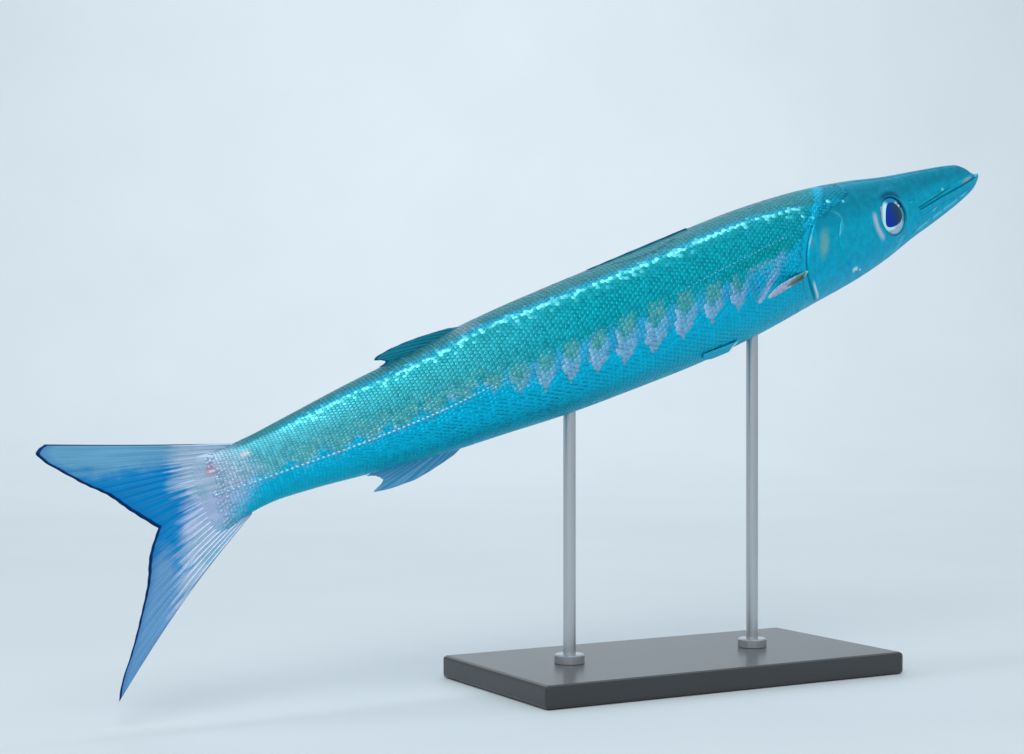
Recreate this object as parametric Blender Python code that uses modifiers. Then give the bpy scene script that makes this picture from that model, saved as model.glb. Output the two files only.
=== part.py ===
"""A sawtooth barracuda, 0.89 m long, as a still museum model on a plain display stand.

Metres, +Z up. The origin is the middle of the stand's underside. The fish heads along +X
with its nose raised, and its middle plane is y = 0.

Places on the fish are given as fractions of its length: s runs back from the tip of the
lower jaw to the root of the tail fin, y to its left and z up, at right angles to its axis.
"""

import math

import bmesh
import bpy
import numpy as np
from mathutils import Matrix, Vector

# Driving sizes of the fish
LENGTH = 0.76                # lower jaw's tip to the root of the tail fin
PITCH = math.radians(20.0)   # how far the nose is raised
GAP = 0.0003                 # left between neighbouring pieces
HALF_GAP = GAP / LENGTH / 2  # the same as a fraction of the length, on each side of a cut

# The stand
BASE_SIZE = (0.34, 0.17, 0.018)
BASE_EDGE = 0.003
ROD_RADIUS = 0.005
COLLAR_RADIUS = 0.012
COLLAR_HEIGHT = 0.007
ROD_PLACES = {"stand_rod_front": 0.355, "stand_rod_rear": 0.605}
BALANCE = 0.465              # the place along the fish that stands over the base's middle
FLOOR_CLEARANCE = 0.018      # under the lowest tip of the tail fin

# Places along the fish where one piece ends and the next begins
UPPER_JAW_TIP = 0.013
MOUTH_CORNER = 0.122
TRUNK_CUTS = (0.25, 0.455, 0.64, 0.84, 1.0)
TRUNK_NAMES = ("trunk_front", "trunk_middle", "trunk_rear", "tail_stalk")
RING_SPACING = 0.0165
SNOUT_ROUNDING = 0.022       # length over which a jaw's tip opens to full size
SNOUT_STOPS = SNOUT_ROUNDING * np.array([0.01, 0.08, 0.25, 0.55])
COVER_HEIGHTS = (0.040, -0.0515)
COVER_INSIDE = 0.018         # how far from the middle plane a gill cover's inner face lies
SIDES = (("right", -1), ("left", 1))
WIDE = 0.12                  # beyond the body on every side, for cutters

# Eye and nostrils
EYE_PLACE = (0.1684, 0.0017)
EYE_RADIUS = 0.0172
EYE_DEPTH = 0.0070
EYE_BULGE = 0.0028           # how far the eye stands out of the head
EYE_RIM = 0.0022
NOSTRILS = ((0.1340, 0.0088, 0.0014), (0.1275, 0.0083, 0.0011))

# Sides of a ring, as angles from the back (90) past the flank (0) to the belly (-90)
TRUNK_ANGLES = (90, 80, 70, 60, 49, 38, 27, 16, 5, -6, -17, -28, -39, -50, -60, -70, -80, -90)
HEAD_ANGLES = (90, 78, 67, 57, 48, 39, 31, 23.5, 16.5, 10.5, 6, 2.5, 0,
               -2.5, -6, -10.5, -17, -25, -34, -44, -54, -66, -78, -90)

# Fins: thickness of rays at root and margin, then of the membrane between them
TAIL_THICKNESS = (0.0036, 0.0011, 0.0020, 0.0007)
PECTORAL_THICKNESS = (0.0026, 0.0011, 0.0015, 0.0007)
SMALL_THICKNESS = (0.0022, 0.0011, 0.0013, 0.0007)
ROOT_DEPTH = 0.004           # how deep a pectoral fin's root lies in the body

# The tips of the tail fin, as (s, z); the lower one sets the fish's height
TAIL_TIP_UP = (1.150, 0.1003)
TAIL_TIP_DOWN = (1.167, -0.1449)

SNOUT_X = BALANCE * LENGTH * math.cos(PITCH)
SNOUT_Z = (FLOOR_CLEARANCE + 0.001
           + LENGTH * (TAIL_TIP_DOWN[0] * math.sin(PITCH) - TAIL_TIP_DOWN[1] * math.cos(PITCH)))


def curve(*stations):
    """A smooth function through stations (place, value): cubic pieces whose slopes meet."""
    where, value = np.array(stations, dtype=float).T
    slope = np.gradient(value, where)

    def at(place):
        place = np.clip(place, where[0], where[-1])
        i = np.clip(np.searchsorted(where, place, side="right") - 1, 0, len(where) - 2)
        step = where[i + 1] - where[i]
        t = (place - where[i]) / step
        return (value[i] * (1 + 2 * t) * (1 - t) ** 2 + slope[i] * step * t * (1 - t) ** 2
                + value[i + 1] * t * t * (3 - 2 * t) - slope[i + 1] * step * t * t * (1 - t))

    return at


# The body's outline: back, belly, the line of its greatest width, and that half-width
back = curve((0, 0.0150), (0.03, 0.0240), (0.09, 0.0352), (0.14, 0.0430), (0.20, 0.0552),
             (0.25, 0.0625), (0.32, 0.0682), (0.38, 0.0699), (0.44, 0.0690), (0.50, 0.0677),
             (0.56, 0.0673), (0.62, 0.0663), (0.68, 0.0643), (0.73, 0.0610), (0.78, 0.0556),
             (0.86, 0.0490), (0.93, 0.0418), (0.97, 0.0380), (1.0, 0.0376))
belly = curve((0, -0.0060), (0.03, -0.0160), (0.08, -0.0278), (0.13, -0.0370), (0.18, -0.0482),
              (0.22, -0.0544), (0.30, -0.0612), (0.38, -0.0676), (0.46, -0.0703),
              (0.55, -0.0679), (0.64, -0.0637), (0.72, -0.0566), (0.77, -0.0525),
              (0.82, -0.0468), (0.87, -0.0398), (0.93, -0.0318), (0.97, -0.0290),
              (1.0, -0.0325))
middle = curve((0, 0.0045), (0.048, 0.0), (0.083, -0.0018), (0.119, -0.0044), (0.16, -0.0058),
               (0.22, -0.0030), (0.30, -0.0010), (0.50, -0.0015), (0.80, 0.0), (1.0, 0.0015))
half_width = curve((0, 0.0085), (0.03, 0.0128), (0.06, 0.0168), (0.10, 0.0218), (0.14, 0.0275),
                   (0.18, 0.0340), (0.22, 0.0402), (0.27, 0.0462), (0.33, 0.0512),
                   (0.42, 0.0545), (0.52, 0.0548), (0.62, 0.0522), (0.70, 0.0478),
                   (0.78, 0.0410), (0.86, 0.0322), (0.93, 0.0225), (0.97, 0.0165), (1.0, 0.0105))
back_squareness = curve((0, 2.2), (0.08, 2.5), (0.20, 2.45), (0.32, 2.2), (1.0, 2.05))
belly_squareness = curve((0, 2.0), (0.25, 2.1), (0.50, 2.2), (0.80, 2.1), (1.0, 2.0))


def preopercle_edge(z):
    """Where the edge of the cheek lies: an arc that bows backwards."""
    return 0.262 - 18.0 * (z + 0.005) ** 2


def gill_opening(z):
    """Where the gill cover ends: a longer arc that bows backwards."""
    return 0.3175 - 12.2 * (z + 0.018) ** 2


def place(s, y, z):
    """World points, in metres, for places on the fish."""
    s, y, z = np.broadcast_arrays(s, y, z)
    return np.stack([SNOUT_X - LENGTH * (s * math.cos(PITCH) + z * math.sin(PITCH)),
                     LENGTH * y,
                     SNOUT_Z + LENGTH * (z * math.cos(PITCH) - s * math.sin(PITCH))], axis=-1)


def skin(s, z, side):
    """Points of the body's surface at heights z, on its left (1) or right (-1)."""
    upper = z > middle(s)
    full = np.where(upper, back(s), belly(s)) - middle(s)
    power = np.where(upper, back_squareness(s), belly_squareness(s))
    rest = np.clip(1 - np.abs((z - middle(s)) / full) ** power, 0, 1)
    return place(s, side * half_width(s) * rest ** (1 / power), z)


def outward(s, z, side):
    """The directions that point straight out of the body's surface."""
    step = 0.002
    along = skin(s + step, z, side) - skin(s - step, z, side)
    upward = skin(s, z + step, side) - skin(s, z - step, side)
    out = np.cross(along, upward)
    out *= np.sign(out[..., 1:2]) * side
    return out / np.linalg.norm(out, axis=-1, keepdims=True)


# Materials, and the helpers that make and cut pieces

def finish(name, colour, roughness, metallic=0.0):
    """A Principled material."""
    material = bpy.data.materials.new(name)
    material.use_nodes = True
    shader = material.node_tree.nodes["Principled BSDF"]
    shader.inputs["Base Color"].default_value = (*colour, 1)
    shader.inputs["Roughness"].default_value = roughness
    shader.inputs["Metallic"].default_value = metallic
    return material


def add(name, mesh, material=None, collection=None):
    """Put a mesh into the scene as an object of its own."""
    obj = bpy.data.objects.new(name, mesh)
    (collection or bpy.data.collections["barracuda"]).objects.link(obj)
    if material:
        mesh.materials.clear()
        mesh.materials.append(material)
    return obj


def mesh_from(name, build):
    """A mesh whose faces are made by a function that fills a bmesh."""
    mesh = bpy.data.meshes.new(name)
    shape = bmesh.new()
    build(shape)
    bmesh.ops.recalc_face_normals(shape, faces=shape.faces)
    shape.to_mesh(mesh)
    shape.free()
    return mesh


def settle(obj):
    """Turn an object's modifiers into its mesh."""
    bpy.context.view_layer.update()
    done = obj.evaluated_get(bpy.context.evaluated_depsgraph_get())
    mesh = bpy.data.meshes.new_from_object(done)
    obj.modifiers.clear()
    old, obj.data = obj.data, mesh
    mesh.name = obj.name
    bpy.data.meshes.remove(old)


def keep_largest(obj):
    """Keep only the largest closed surface of a cut piece."""
    shape = bmesh.new()
    shape.from_mesh(obj.data)
    left, islands = set(shape.faces), []
    while left:
        island, edge = set(), [left.pop()]
        while edge:
            face = edge.pop()
            island.add(face)
            for near in {f for e in face.edges for f in e.link_faces} & left:
                left.discard(near)
                edge.append(near)
        islands.append(island)
    islands.sort(key=lambda faces: -sum(face.calc_area() for face in faces))
    scraps = [face for island in islands[1:] for face in island]
    if scraps:
        bmesh.ops.delete(shape, geom=scraps, context="FACES")
    shape.to_mesh(obj.data)
    shape.free()


def combine(obj, operation, others, keep=False):
    """Apply one Boolean with a group of closed objects, which then go unless they are kept."""
    group = bpy.data.collections.new("operands")
    bpy.context.scene.collection.children.link(group)
    for other in others:
        group.objects.link(other)
    change = obj.modifiers.new(operation.lower(), "BOOLEAN")
    change.operation = operation
    change.operand_type = "COLLECTION"
    change.collection = group
    change.solver = "EXACT"
    settle(obj)
    for other in () if keep else others:
        bpy.data.objects.remove(other)
    bpy.data.collections.remove(group)
    keep_largest(obj)
    return obj


def prism(name, outline, y_low, y_high):
    """A cutter: an outline of (s, z) places carried across the fish from y_low to y_high."""
    def build(shape):
        low = [shape.verts.new(point) for point in place(*zip(*[(s, y_low, z)
                                                                 for s, z in outline]))]
        face = shape.faces.new(low)
        moved = bmesh.ops.extrude_face_region(shape, geom=[face])["geom"]
        bmesh.ops.translate(shape, vec=(0, LENGTH * (y_high - y_low), 0),
                            verts=[v for v in moved if isinstance(v, bmesh.types.BMVert)])

    return add(name, mesh_from(name, build))


# Body

def ring_sides(angles):
    """Angles and sides once round a ring: down the right flank and up the left one."""
    down = [(angle, -1) for angle in angles]
    up = [(angle, 1) for angle in reversed(angles[1:-1])]
    angle, side = zip(*(down + up))
    return np.radians(angle), np.array(side)


def rounded(s, tip):
    """How a snout opens from its tip: a quarter circle, then full size."""
    t = np.clip((s - tip) / SNOUT_ROUNDING, 0, 1)
    return np.sqrt(1 - (1 - t) ** 2)


def body(name, stops, angles, material=None, tip=None, grow=0.0, relief=None):
    """A closed length of the body: rings of two half superellipses, one at each stop.

    A tip rounds it off like a snout. Grow swells it all round, and relief(s, z, angle)
    adds to its width where lips and gill covers stand out.
    """
    angle, side = ring_sides(angles)
    s = np.asarray(stops)[:, None]
    size = rounded(s, tip) if tip is not None else 1.0
    upper = angle >= 0
    power = np.where(upper, back_squareness(s), belly_squareness(s))
    full = np.where(upper, back(s) - middle(s), middle(s) - belly(s)) * size + grow
    z = middle(s) + np.sign(angle) * full * np.abs(np.sin(angle)) ** (2 / power)
    y = (half_width(s) * size + grow) * np.clip(np.cos(angle), 0, 1) ** (2 / power)
    if relief:
        y = y + relief(s, z, np.degrees(angle)) * np.clip(y / half_width(s) * 2, 0, 1)
    points = place(s, side * y, z)

    def build(shape):
        rings = [[shape.verts.new(point) for point in ring] for ring in points]
        for one, two in zip(rings, rings[1:]):
            for i, corner in enumerate(one):
                shape.faces.new((one[i - 1], corner, two[i], two[i - 1]))
        shape.faces.new(rings[0])
        shape.faces.new(reversed(rings[-1]))

    return add(name, mesh_from(name, build), material)


def lips(s, z, angle):
    """Lips along the mouth: a raised band each side of a narrow groove."""
    mouth = np.clip((MOUTH_CORNER + 0.012 - s) / 0.02, 0, 1)
    band = 0.0011 * np.exp(-((np.abs(angle) - 9.0) / 4.5) ** 2)
    groove = 0.0012 * np.exp(-(angle / 3.5) ** 2)
    return mouth * (band - groove) / LENGTH


def cheek(s, z, angle):
    """The head's relief: its lips, and a cheek that rises to its rear edge."""
    ahead = preopercle_edge(z) - s
    rise = 0.0013 * np.exp(-np.clip(ahead, 0, 1) / 0.02) * (ahead > -0.004)
    return lips(s, z, angle) + rise / LENGTH


def cover(s, z, _):
    """The gill cover's relief: it rises to its rear edge, over the shoulder."""
    ahead = gill_opening(z) - s
    return 0.0016 * np.exp(-np.clip(ahead, 0, 1) / 0.018) / LENGTH


def ahead_of_gills(shift):
    """The outline of all that lies before the gill opening, moved back by the shift."""
    edge = [(gill_opening(max(-0.075, min(z, 0.075))) + shift, z)
            for z in np.linspace(-0.10, 0.10, 25)]
    return [(-0.05, 0.10), (-0.05, -0.10)] + edge


def gill_outline(shift):
    """The gill cover seen from the side, grown by the shift."""
    heights = np.linspace(COVER_HEIGHTS[0] + shift, COVER_HEIGHTS[1] - shift, 13)
    front = [(preopercle_edge(z) + 0.0006 - shift, z) for z in heights]
    rear = [(gill_opening(z) + 0.02, z) for z in heights]
    return front + rear[::-1]


def jaw_outline(shift):
    """The lower jaw seen from the side, grown by the shift."""
    line = [(s, middle(s) + shift) for s in np.linspace(-0.02, MOUTH_CORNER, 10)]
    hinge = [(0.133, -0.0110), (0.150, -0.0190), (0.184, -0.0360), (0.198, -0.0500),
             (0.203, -0.0900)]
    return line + [(s + shift, z + shift) for s, z in hinge] + [(-0.02, -0.0900)]


def ellipsoid(name, centre, normal, radii, segments, material=None):
    """A UV sphere pressed flat along its own axis, which points along the normal."""
    turn = Vector(normal).to_track_quat("Z", "Y").to_matrix().to_4x4()
    size = Matrix.Diagonal((radii[0], radii[0], radii[1], 1))

    def build(shape):
        bmesh.ops.create_uvsphere(shape, u_segments=segments, v_segments=segments // 2,
                                  radius=1, matrix=Matrix.Translation(centre) @ turn @ size)

    return add(name, mesh_from(name, build), material)


def eye_seat(side):
    """The eye's middle and the way that it looks."""
    point, normal = skin(*EYE_PLACE, side), outward(*EYE_PLACE, side)
    return point - normal * (EYE_DEPTH - EYE_BULGE), normal


def eye_rim(side):
    """A ring of skin round the eye, to be joined to the head."""
    _, normal = eye_seat(side)
    point = skin(*EYE_PLACE, side)
    bpy.ops.mesh.primitive_torus_add(major_segments=28, minor_segments=8,
                                     major_radius=EYE_RADIUS + EYE_RIM * 0.6,
                                     minor_radius=EYE_RIM)
    ring = bpy.context.object
    turn = Vector(normal).to_track_quat("Z", "Y").to_matrix().to_4x4()
    ring.data.transform(Matrix.Translation(point - normal * 0.0004) @ turn)
    return ring


def make_head(material, eye_material):
    """Skull and upper jaw, lower jaw, gill covers and eyes."""
    upper_stops = np.concatenate([UPPER_JAW_TIP + SNOUT_STOPS, np.linspace(0.036, 0.325, 36)])
    jaw_stops = np.concatenate([SNOUT_STOPS, np.linspace(0.024, 0.215, 23)])
    gill_stops = np.linspace(0.195, 0.330, 18)

    head = body("head", upper_stops, HEAD_ANGLES, material, tip=UPPER_JAW_TIP, relief=cheek)
    combine(head, "UNION", [eye_rim(side) for _, side in SIDES])
    cutters = [prism("below_the_mouth", jaw_outline(HALF_GAP), -WIDE, WIDE)]
    for label, side in SIDES:
        low, high = sorted((side * (COVER_INSIDE - 2 * HALF_GAP), side * WIDE))
        cutters.append(prism("gill_" + label, gill_outline(2 * HALF_GAP), low, high))
        centre, normal = eye_seat(side)
        cutters.append(ellipsoid("socket_" + label, centre, normal,
                                 (EYE_RADIUS + GAP * 1.3, EYE_DEPTH + GAP * 1.3), 20))
        for s, z, radius in NOSTRILS:
            point, normal = skin(s, z, side), outward(s, z, side)
            cutters.append(ellipsoid("nostril", point, normal, (radius, radius * 1.4), 8))
    combine(head, "DIFFERENCE", cutters)
    combine(head, "INTERSECT", [prism("skull_side", ahead_of_gills(-HALF_GAP), -WIDE, WIDE)])

    jaw = body("lower_jaw", jaw_stops, HEAD_ANGLES, material, tip=0.0, relief=lips)
    combine(jaw, "INTERSECT", [prism("jaw_side", jaw_outline(-HALF_GAP), -WIDE, WIDE)])

    for label, side in SIDES:
        gill = body("gill_cover_" + label, gill_stops, HEAD_ANGLES, material, relief=cover)
        low, high = sorted((side * COVER_INSIDE, side * WIDE))
        combine(gill, "INTERSECT", [prism("plate", gill_outline(0.0), low, high)])
        combine(gill, "INTERSECT", [prism("rear", ahead_of_gills(-HALF_GAP), -WIDE, WIDE)])
        centre, normal = eye_seat(side)
        ellipsoid("eye_" + label, centre, normal, (EYE_RADIUS, EYE_DEPTH), 20, eye_material)


def trunk_stops():
    """The places of the rings in each length of the trunk."""
    return [np.linspace(start + 2 * HALF_GAP, end, round((end - start) / RING_SPACING))
            for start, end in zip(TRUNK_CUTS, TRUNK_CUTS[1:])]


def make_trunk(material):
    """Four lengths of the body behind the head, parted by thin flat cuts."""
    for name, stops in zip(TRUNK_NAMES, trunk_stops()):
        length = body(name, stops, TRUNK_ANGLES, material)
        if name == "trunk_front":
            combine(length, "DIFFERENCE",
                    [prism("head_side", ahead_of_gills(HALF_GAP), -WIDE, WIDE)])


# Fins

def ray_fin(name, surface, rays, rows, thickness, material, trim):
    """A fin: a membrane with one ridge for each ray, its root trimmed to the body.

    surface(u, v) gives points, u from the first ray to the last and v from root to margin.
    thickness holds the rays' at root and margin, then the membrane's at root and margin.
    """
    columns = 2 * rays + 1
    mesh = bpy.data.meshes.new(name)
    shape = bmesh.new()
    bmesh.ops.create_grid(shape, x_segments=columns - 1, y_segments=rows, size=0.5)
    flat = np.array([vert.co for vert in shape.verts]) + 0.5
    u, v = flat[:, 0], flat[:, 1]
    for vert, point in zip(shape.verts, surface(u, v)):
        vert.co = point
    bmesh.ops.triangulate(shape, faces=shape.faces, quad_method="SHORT_EDGE")
    shape.to_mesh(mesh)
    shape.free()
    fin = add(name, mesh, material)

    is_ray = np.round(u * (columns - 1)).astype(int) % 2 == 1
    ray = thickness[0] + (thickness[1] - thickness[0]) * v ** 0.8
    web = thickness[2] + (thickness[3] - thickness[2]) * v ** 0.8
    thick = np.where(is_ray, ray, web)
    group = fin.vertex_groups.new(name="thickness")
    for index, value in enumerate(thick / thickness[0]):
        group.add([index], float(value), "REPLACE")
    wall = fin.modifiers.new("thickness", "SOLIDIFY")
    wall.thickness = thickness[0]
    wall.offset = 0
    wall.vertex_group = "thickness"
    settle(fin)
    return combine(fin, "DIFFERENCE", [trim], keep=True)


def fan(roots, tips, sag=(0.0, 0.0)):
    """The surface of a fin in the middle plane, between a line of roots and one of tips.

    Both lines are functions of u that give s and z. Sag bows the first ray and the last,
    upwards if positive, and those between them by what lies between.
    """
    def surface(u, v):
        start, end = np.array(roots(u)), np.array(tips(u))
        s, z = start + (end - start) * v
        bow = sag[0] + (sag[1] - sag[0]) * u
        return place(s, 0 * s, z + bow * np.sin(np.pi * v))

    return surface


def margin(*points):
    """A smooth line through (u, s, z) points, as a function of u."""
    s, z = (curve(*[(point[0], point[axis]) for point in points]) for axis in (1, 2))
    return lambda u: (s(u), z(u))


def base_line(outline, start, end, sunk):
    """Roots along the back or the belly, from start to end, sunk into it."""
    def roots(u):
        s = start + (end - start) * u
        return s, outline(s) - sunk

    return roots


def make_median_fins(material, trim):
    """Both back fins, the anal fin and the two lobes of the tail."""
    sunk = 0.0045
    ray_fin("first_dorsal_fin",
            fan(base_line(back, 0.412, 0.520, sunk),
                margin((0, 0.424, 0.0712), (0.3, 0.470, 0.0704), (0.7, 0.530, 0.0691),
                       (1, 0.560, 0.0684))),
            5, 3, SMALL_THICKNESS, material, trim)
    ray_fin("second_dorsal_fin",
            fan(base_line(back, 0.705, 0.792, sunk),
                margin((0, 0.733, 0.0646), (0.12, 0.760, 0.0667), (0.3, 0.792, 0.0671),
                       (0.4, 0.808, 0.0659), (0.5, 0.8205, 0.0631), (0.65, 0.811, 0.0580),
                       (0.8, 0.810, 0.0557), (1, 0.818, 0.0536))),
            9, 6, SMALL_THICKNESS, material, trim)
    ray_fin("anal_fin",
            fan(base_line(belly, 0.750, 0.838, -sunk),
                margin((0, 0.770, -0.0575), (0.12, 0.796, -0.0622), (0.3, 0.830, -0.0645),
                       (0.42, 0.8635, -0.0603), (0.55, 0.853, -0.0540), (0.75, 0.856, -0.0468),
                       (1, 0.867, -0.0418))),
            9, 6, SMALL_THICKNESS, material, trim)
    ray_fin("tail_fin_upper",
            fan(margin((0, 0.978, 0.0355), (0.5, 0.986, 0.0200), (1, 0.988, 0.0010)),
                margin((0, *TAIL_TIP_UP), (0.1, 1.160, 0.0966), (0.35, 1.135, 0.0600),
                       (0.6, 1.112, 0.0355), (0.8, 1.098, 0.0150), (1, 1.079, -0.0100)),
                sag=(-0.001, 0.003)),
            10, 9, TAIL_THICKNESS, material, trim)
    ray_fin("tail_fin_lower",
            fan(margin((0, 0.988, 0.0010 - 2.2 * HALF_GAP), (0.5, 0.986, -0.0180),
                       (1, 0.990, -0.0325)),
                margin((0, 1.079, -0.0100 - 2.2 * HALF_GAP), (0.2, 1.095, -0.0307),
                       (0.4, 1.106, -0.0545), (0.6, 1.122, -0.0799), (0.8, 1.142, -0.1085),
                       (0.93, 1.161, -0.1330), (1, *TAIL_TIP_DOWN)),
                sag=(0.003, 0.006)),
            10, 9, TAIL_THICKNESS, material, trim)


def pectoral(side):
    """The pectoral fin's surface: a narrow blade held out from the flank."""
    reach = curve((0, 0.085), (0.2, 0.100), (0.5, 0.104), (0.8, 0.096), (1, 0.078))

    def surface(u, v):
        s, z = 0.3205 + 0.005 * u, -0.0150 - 0.0085 * u
        spread, droop = np.radians(32 - 8 * u), np.radians(-5 + 4 * u)
        away = place(reach(u) * np.cos(spread) * np.cos(droop),
                     side * reach(u) * np.sin(spread),
                     -reach(u) * np.sin(droop)) - place(0, 0, 0)
        inward = outward(s, z, side) * ROOT_DEPTH * ((1 - v) ** 2)[:, None]
        return skin(s, z, side) + away * v[:, None] - inward

    return surface


def pelvic(side):
    """The pelvic fin's surface: folded back along the belly, a little clear of it."""
    reach = curve((0, 0.060), (0.3, 0.058), (0.7, 0.048), (1, 0.034))

    def surface(u, v):
        s = 0.414 + 0.006 * u + reach(u) * v
        angle = np.radians(-54 - 20 * u + 5 * v)
        power = belly_squareness(s)
        z = middle(s) + (belly(s) - middle(s)) * np.abs(np.sin(angle)) ** (2 / power)
        lift = -0.0030 + 0.0056 * np.clip(v / 0.25, 0, 1) ** 0.7 + 0.0008 * v
        return skin(s, z, side) + outward(s, z, side) * lift[:, None]

    return surface


def make_paired_fins(material, trim):
    """Pectoral and pelvic fins, right and left."""
    for label, side in SIDES:
        ray_fin("pectoral_fin_" + label, pectoral(side), 8, 6, PECTORAL_THICKNESS,
                material, trim)
        ray_fin("pelvic_fin_" + label, pelvic(side), 5, 6, SMALL_THICKNESS, material, trim)


# Stand

def make_stand(base_material, rod_material, trim):
    """A flat base, and two rods whose tops are cut to the belly."""
    def slab(shape):
        bmesh.ops.create_cube(shape, size=1)
        bmesh.ops.scale(shape, vec=BASE_SIZE, verts=shape.verts)
        bmesh.ops.translate(shape, vec=(0, 0, BASE_SIZE[2] / 2), verts=shape.verts)

    base = add("stand_base", mesh_from("stand_base", slab), base_material)
    rounding = base.modifiers.new("edge", "BEVEL")
    rounding.width = BASE_EDGE
    rounding.segments = 2

    for name, s in ROD_PLACES.items():
        x, _, top = place(s, 0, 0)
        foot = BASE_SIZE[2] + GAP
        profile = [(ROD_RADIUS, top), (ROD_RADIUS, foot + COLLAR_HEIGHT),
                   (COLLAR_RADIUS - 0.001, foot + COLLAR_HEIGHT),
                   (COLLAR_RADIUS, foot + COLLAR_HEIGHT - 0.001), (COLLAR_RADIUS, foot)]
        mesh = bpy.data.meshes.new(name)
        line = [(0, 0, top)] + [(r, 0, z) for r, z in profile] + [(0, 0, foot)]
        mesh.from_pydata(line, [(i, i + 1) for i in range(len(line) - 1)], [])
        rod = add(name, mesh, rod_material)
        turned = rod.modifiers.new("turned", "SCREW")
        turned.steps = turned.render_steps = 20
        turned.use_merge_vertices = True
        turned.merge_threshold = 0.00001
        settle(rod)
        rod.data.transform(Matrix.Translation((x, 0, 0)))
        combine(rod, "DIFFERENCE", [trim], keep=True)


def main():
    for obj in list(bpy.data.objects):
        bpy.data.objects.remove(obj)
    parts = bpy.data.collections.new("barracuda")
    bpy.context.scene.collection.children.link(parts)

    flesh = finish("skin", (0.16, 0.42, 0.45), 0.35, 0.3)
    membrane = finish("fins", (0.10, 0.33, 0.45), 0.45)
    eyes = finish("eyes", (0.45, 0.55, 0.60), 0.1)
    base = finish("stand_base", (0.03, 0.03, 0.035), 0.4)
    steel = finish("stand_rods", (0.62, 0.63, 0.65), 0.3, 1.0)

    make_head(flesh, eyes)
    make_trunk(flesh)
    stops = np.unique(np.round(np.concatenate(trunk_stops()), 6))
    stops[-1] += 2 * HALF_GAP
    trim = body("trim", stops, TRUNK_ANGLES, grow=2 * HALF_GAP)
    make_median_fins(membrane, trim)
    make_paired_fins(membrane, trim)
    make_stand(base, steel, trim)
    bpy.data.objects.remove(trim)


main()
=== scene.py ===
"""The looks of a sawtooth barracuda held over a plain display stand.

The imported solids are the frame. One skin takes the place of the flesh, with a coat of
scales over it, eyes, fins with branching rays, and a row of pored scales down each side.
Places on the fish are fractions of its length: s runs back from the tip of the lower jaw
to the root of the tail fin, and z goes up at right angles to that.
"""
import math

import bpy
import numpy as np
from bpy.props import FloatProperty, FloatVectorProperty, IntProperty, PointerProperty
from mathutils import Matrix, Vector


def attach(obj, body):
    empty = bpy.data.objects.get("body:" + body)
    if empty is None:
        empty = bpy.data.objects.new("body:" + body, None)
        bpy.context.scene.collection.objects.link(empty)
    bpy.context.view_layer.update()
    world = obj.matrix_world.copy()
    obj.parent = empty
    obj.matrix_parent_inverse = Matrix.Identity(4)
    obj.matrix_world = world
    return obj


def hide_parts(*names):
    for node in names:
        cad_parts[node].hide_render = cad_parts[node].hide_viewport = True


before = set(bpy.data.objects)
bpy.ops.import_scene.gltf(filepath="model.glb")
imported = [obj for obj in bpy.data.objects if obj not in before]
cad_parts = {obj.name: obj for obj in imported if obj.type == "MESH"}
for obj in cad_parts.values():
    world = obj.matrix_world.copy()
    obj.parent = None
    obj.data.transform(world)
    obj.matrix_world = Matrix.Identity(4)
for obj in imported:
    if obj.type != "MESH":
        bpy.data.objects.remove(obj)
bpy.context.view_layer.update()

bl_info = {
    "name": "Sawtooth Barracuda",
    "version": (1, 0, 0),
    "blender": (4, 5, 0),
    "location": "View3D > Sidebar > Barracuda",
    "description": "Skins, scales and finishes a barracuda on its display stand",
    "category": "Object",
}

# The fish's place and pose, as its solids have them
LENGTH = 0.76
PITCH = math.radians(20.0)
BALANCE = 0.465
FLOOR_CLEARANCE = 0.019
TAIL_TIP_UP = (1.150, 0.1003)
TAIL_TIP_DOWN = (1.167, -0.1449)
SNOUT_X = BALANCE * LENGTH * math.cos(PITCH)
SNOUT_Z = (FLOOR_CLEARANCE
           + LENGTH * (TAIL_TIP_DOWN[0] * math.sin(PITCH) - TAIL_TIP_DOWN[1] * math.cos(PITCH)))
HEADING = np.array((math.cos(PITCH), 0, math.sin(PITCH)))
UPWARD = np.array((-math.sin(PITCH), 0, math.cos(PITCH)))

UPPER_JAW_TIP = 0.013
SNOUT_ROUND = 0.022          # how far back a jaw's rounded tip reaches
MOUTH_CORNER = 0.122
EYE_PLACE = (0.1684, 0.0017)
EYE_RADIUS = 0.0172          # the ball's, in metres; the lid leaves less of it to see
EYE_DEPTH = 0.0070
EYE_BULGE = 0.0028
LID_RADIUS = 0.0161
NOSTRILS = ((0.1340, 0.0088, 0.0012), (0.1275, 0.0083, 0.0009))
CHEEK_EDGE = 0.262           # where the cheek's rear edge lies furthest back
GILL_EDGE = 0.3175           # and the gill cover's
BEND_START = 0.195           # where the skin's rings begin to follow those edges
BEND_END = 0.42              # and where they are straight again
SKIN_END = 1.035             # a little past the tail's root
SIDES = (("right", -1), ("left", 1))

# The camera, fitted to the photo: a pixel's focal length, the turn of its view away from
# the fish's flank, and the snout's place before it, in lengths of the fish
FOCAL_PIXELS = 1800.0
FRAME_PIXELS = 1024
VIEW_TURN = math.radians(29.08)
SNOUT_BEFORE_CAMERA = (0.5567, 2.1504, 0.2389)


# Shape

def curve(*stations):
    """A smooth function through stations (place, value): cubic pieces whose slopes meet."""
    where, value = np.array(stations, dtype=float).T
    slope = np.gradient(value, where)

    def at(place):
        place = np.clip(place, where[0], where[-1])
        i = np.clip(np.searchsorted(where, place, side="right") - 1, 0, len(where) - 2)
        step = where[i + 1] - where[i]
        t = (place - where[i]) / step
        return (value[i] * (1 + 2 * t) * (1 - t) ** 2 + slope[i] * step * t * (1 - t) ** 2
                + value[i + 1] * t * t * (3 - 2 * t) - slope[i + 1] * step * t * t * (1 - t))

    return at


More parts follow.
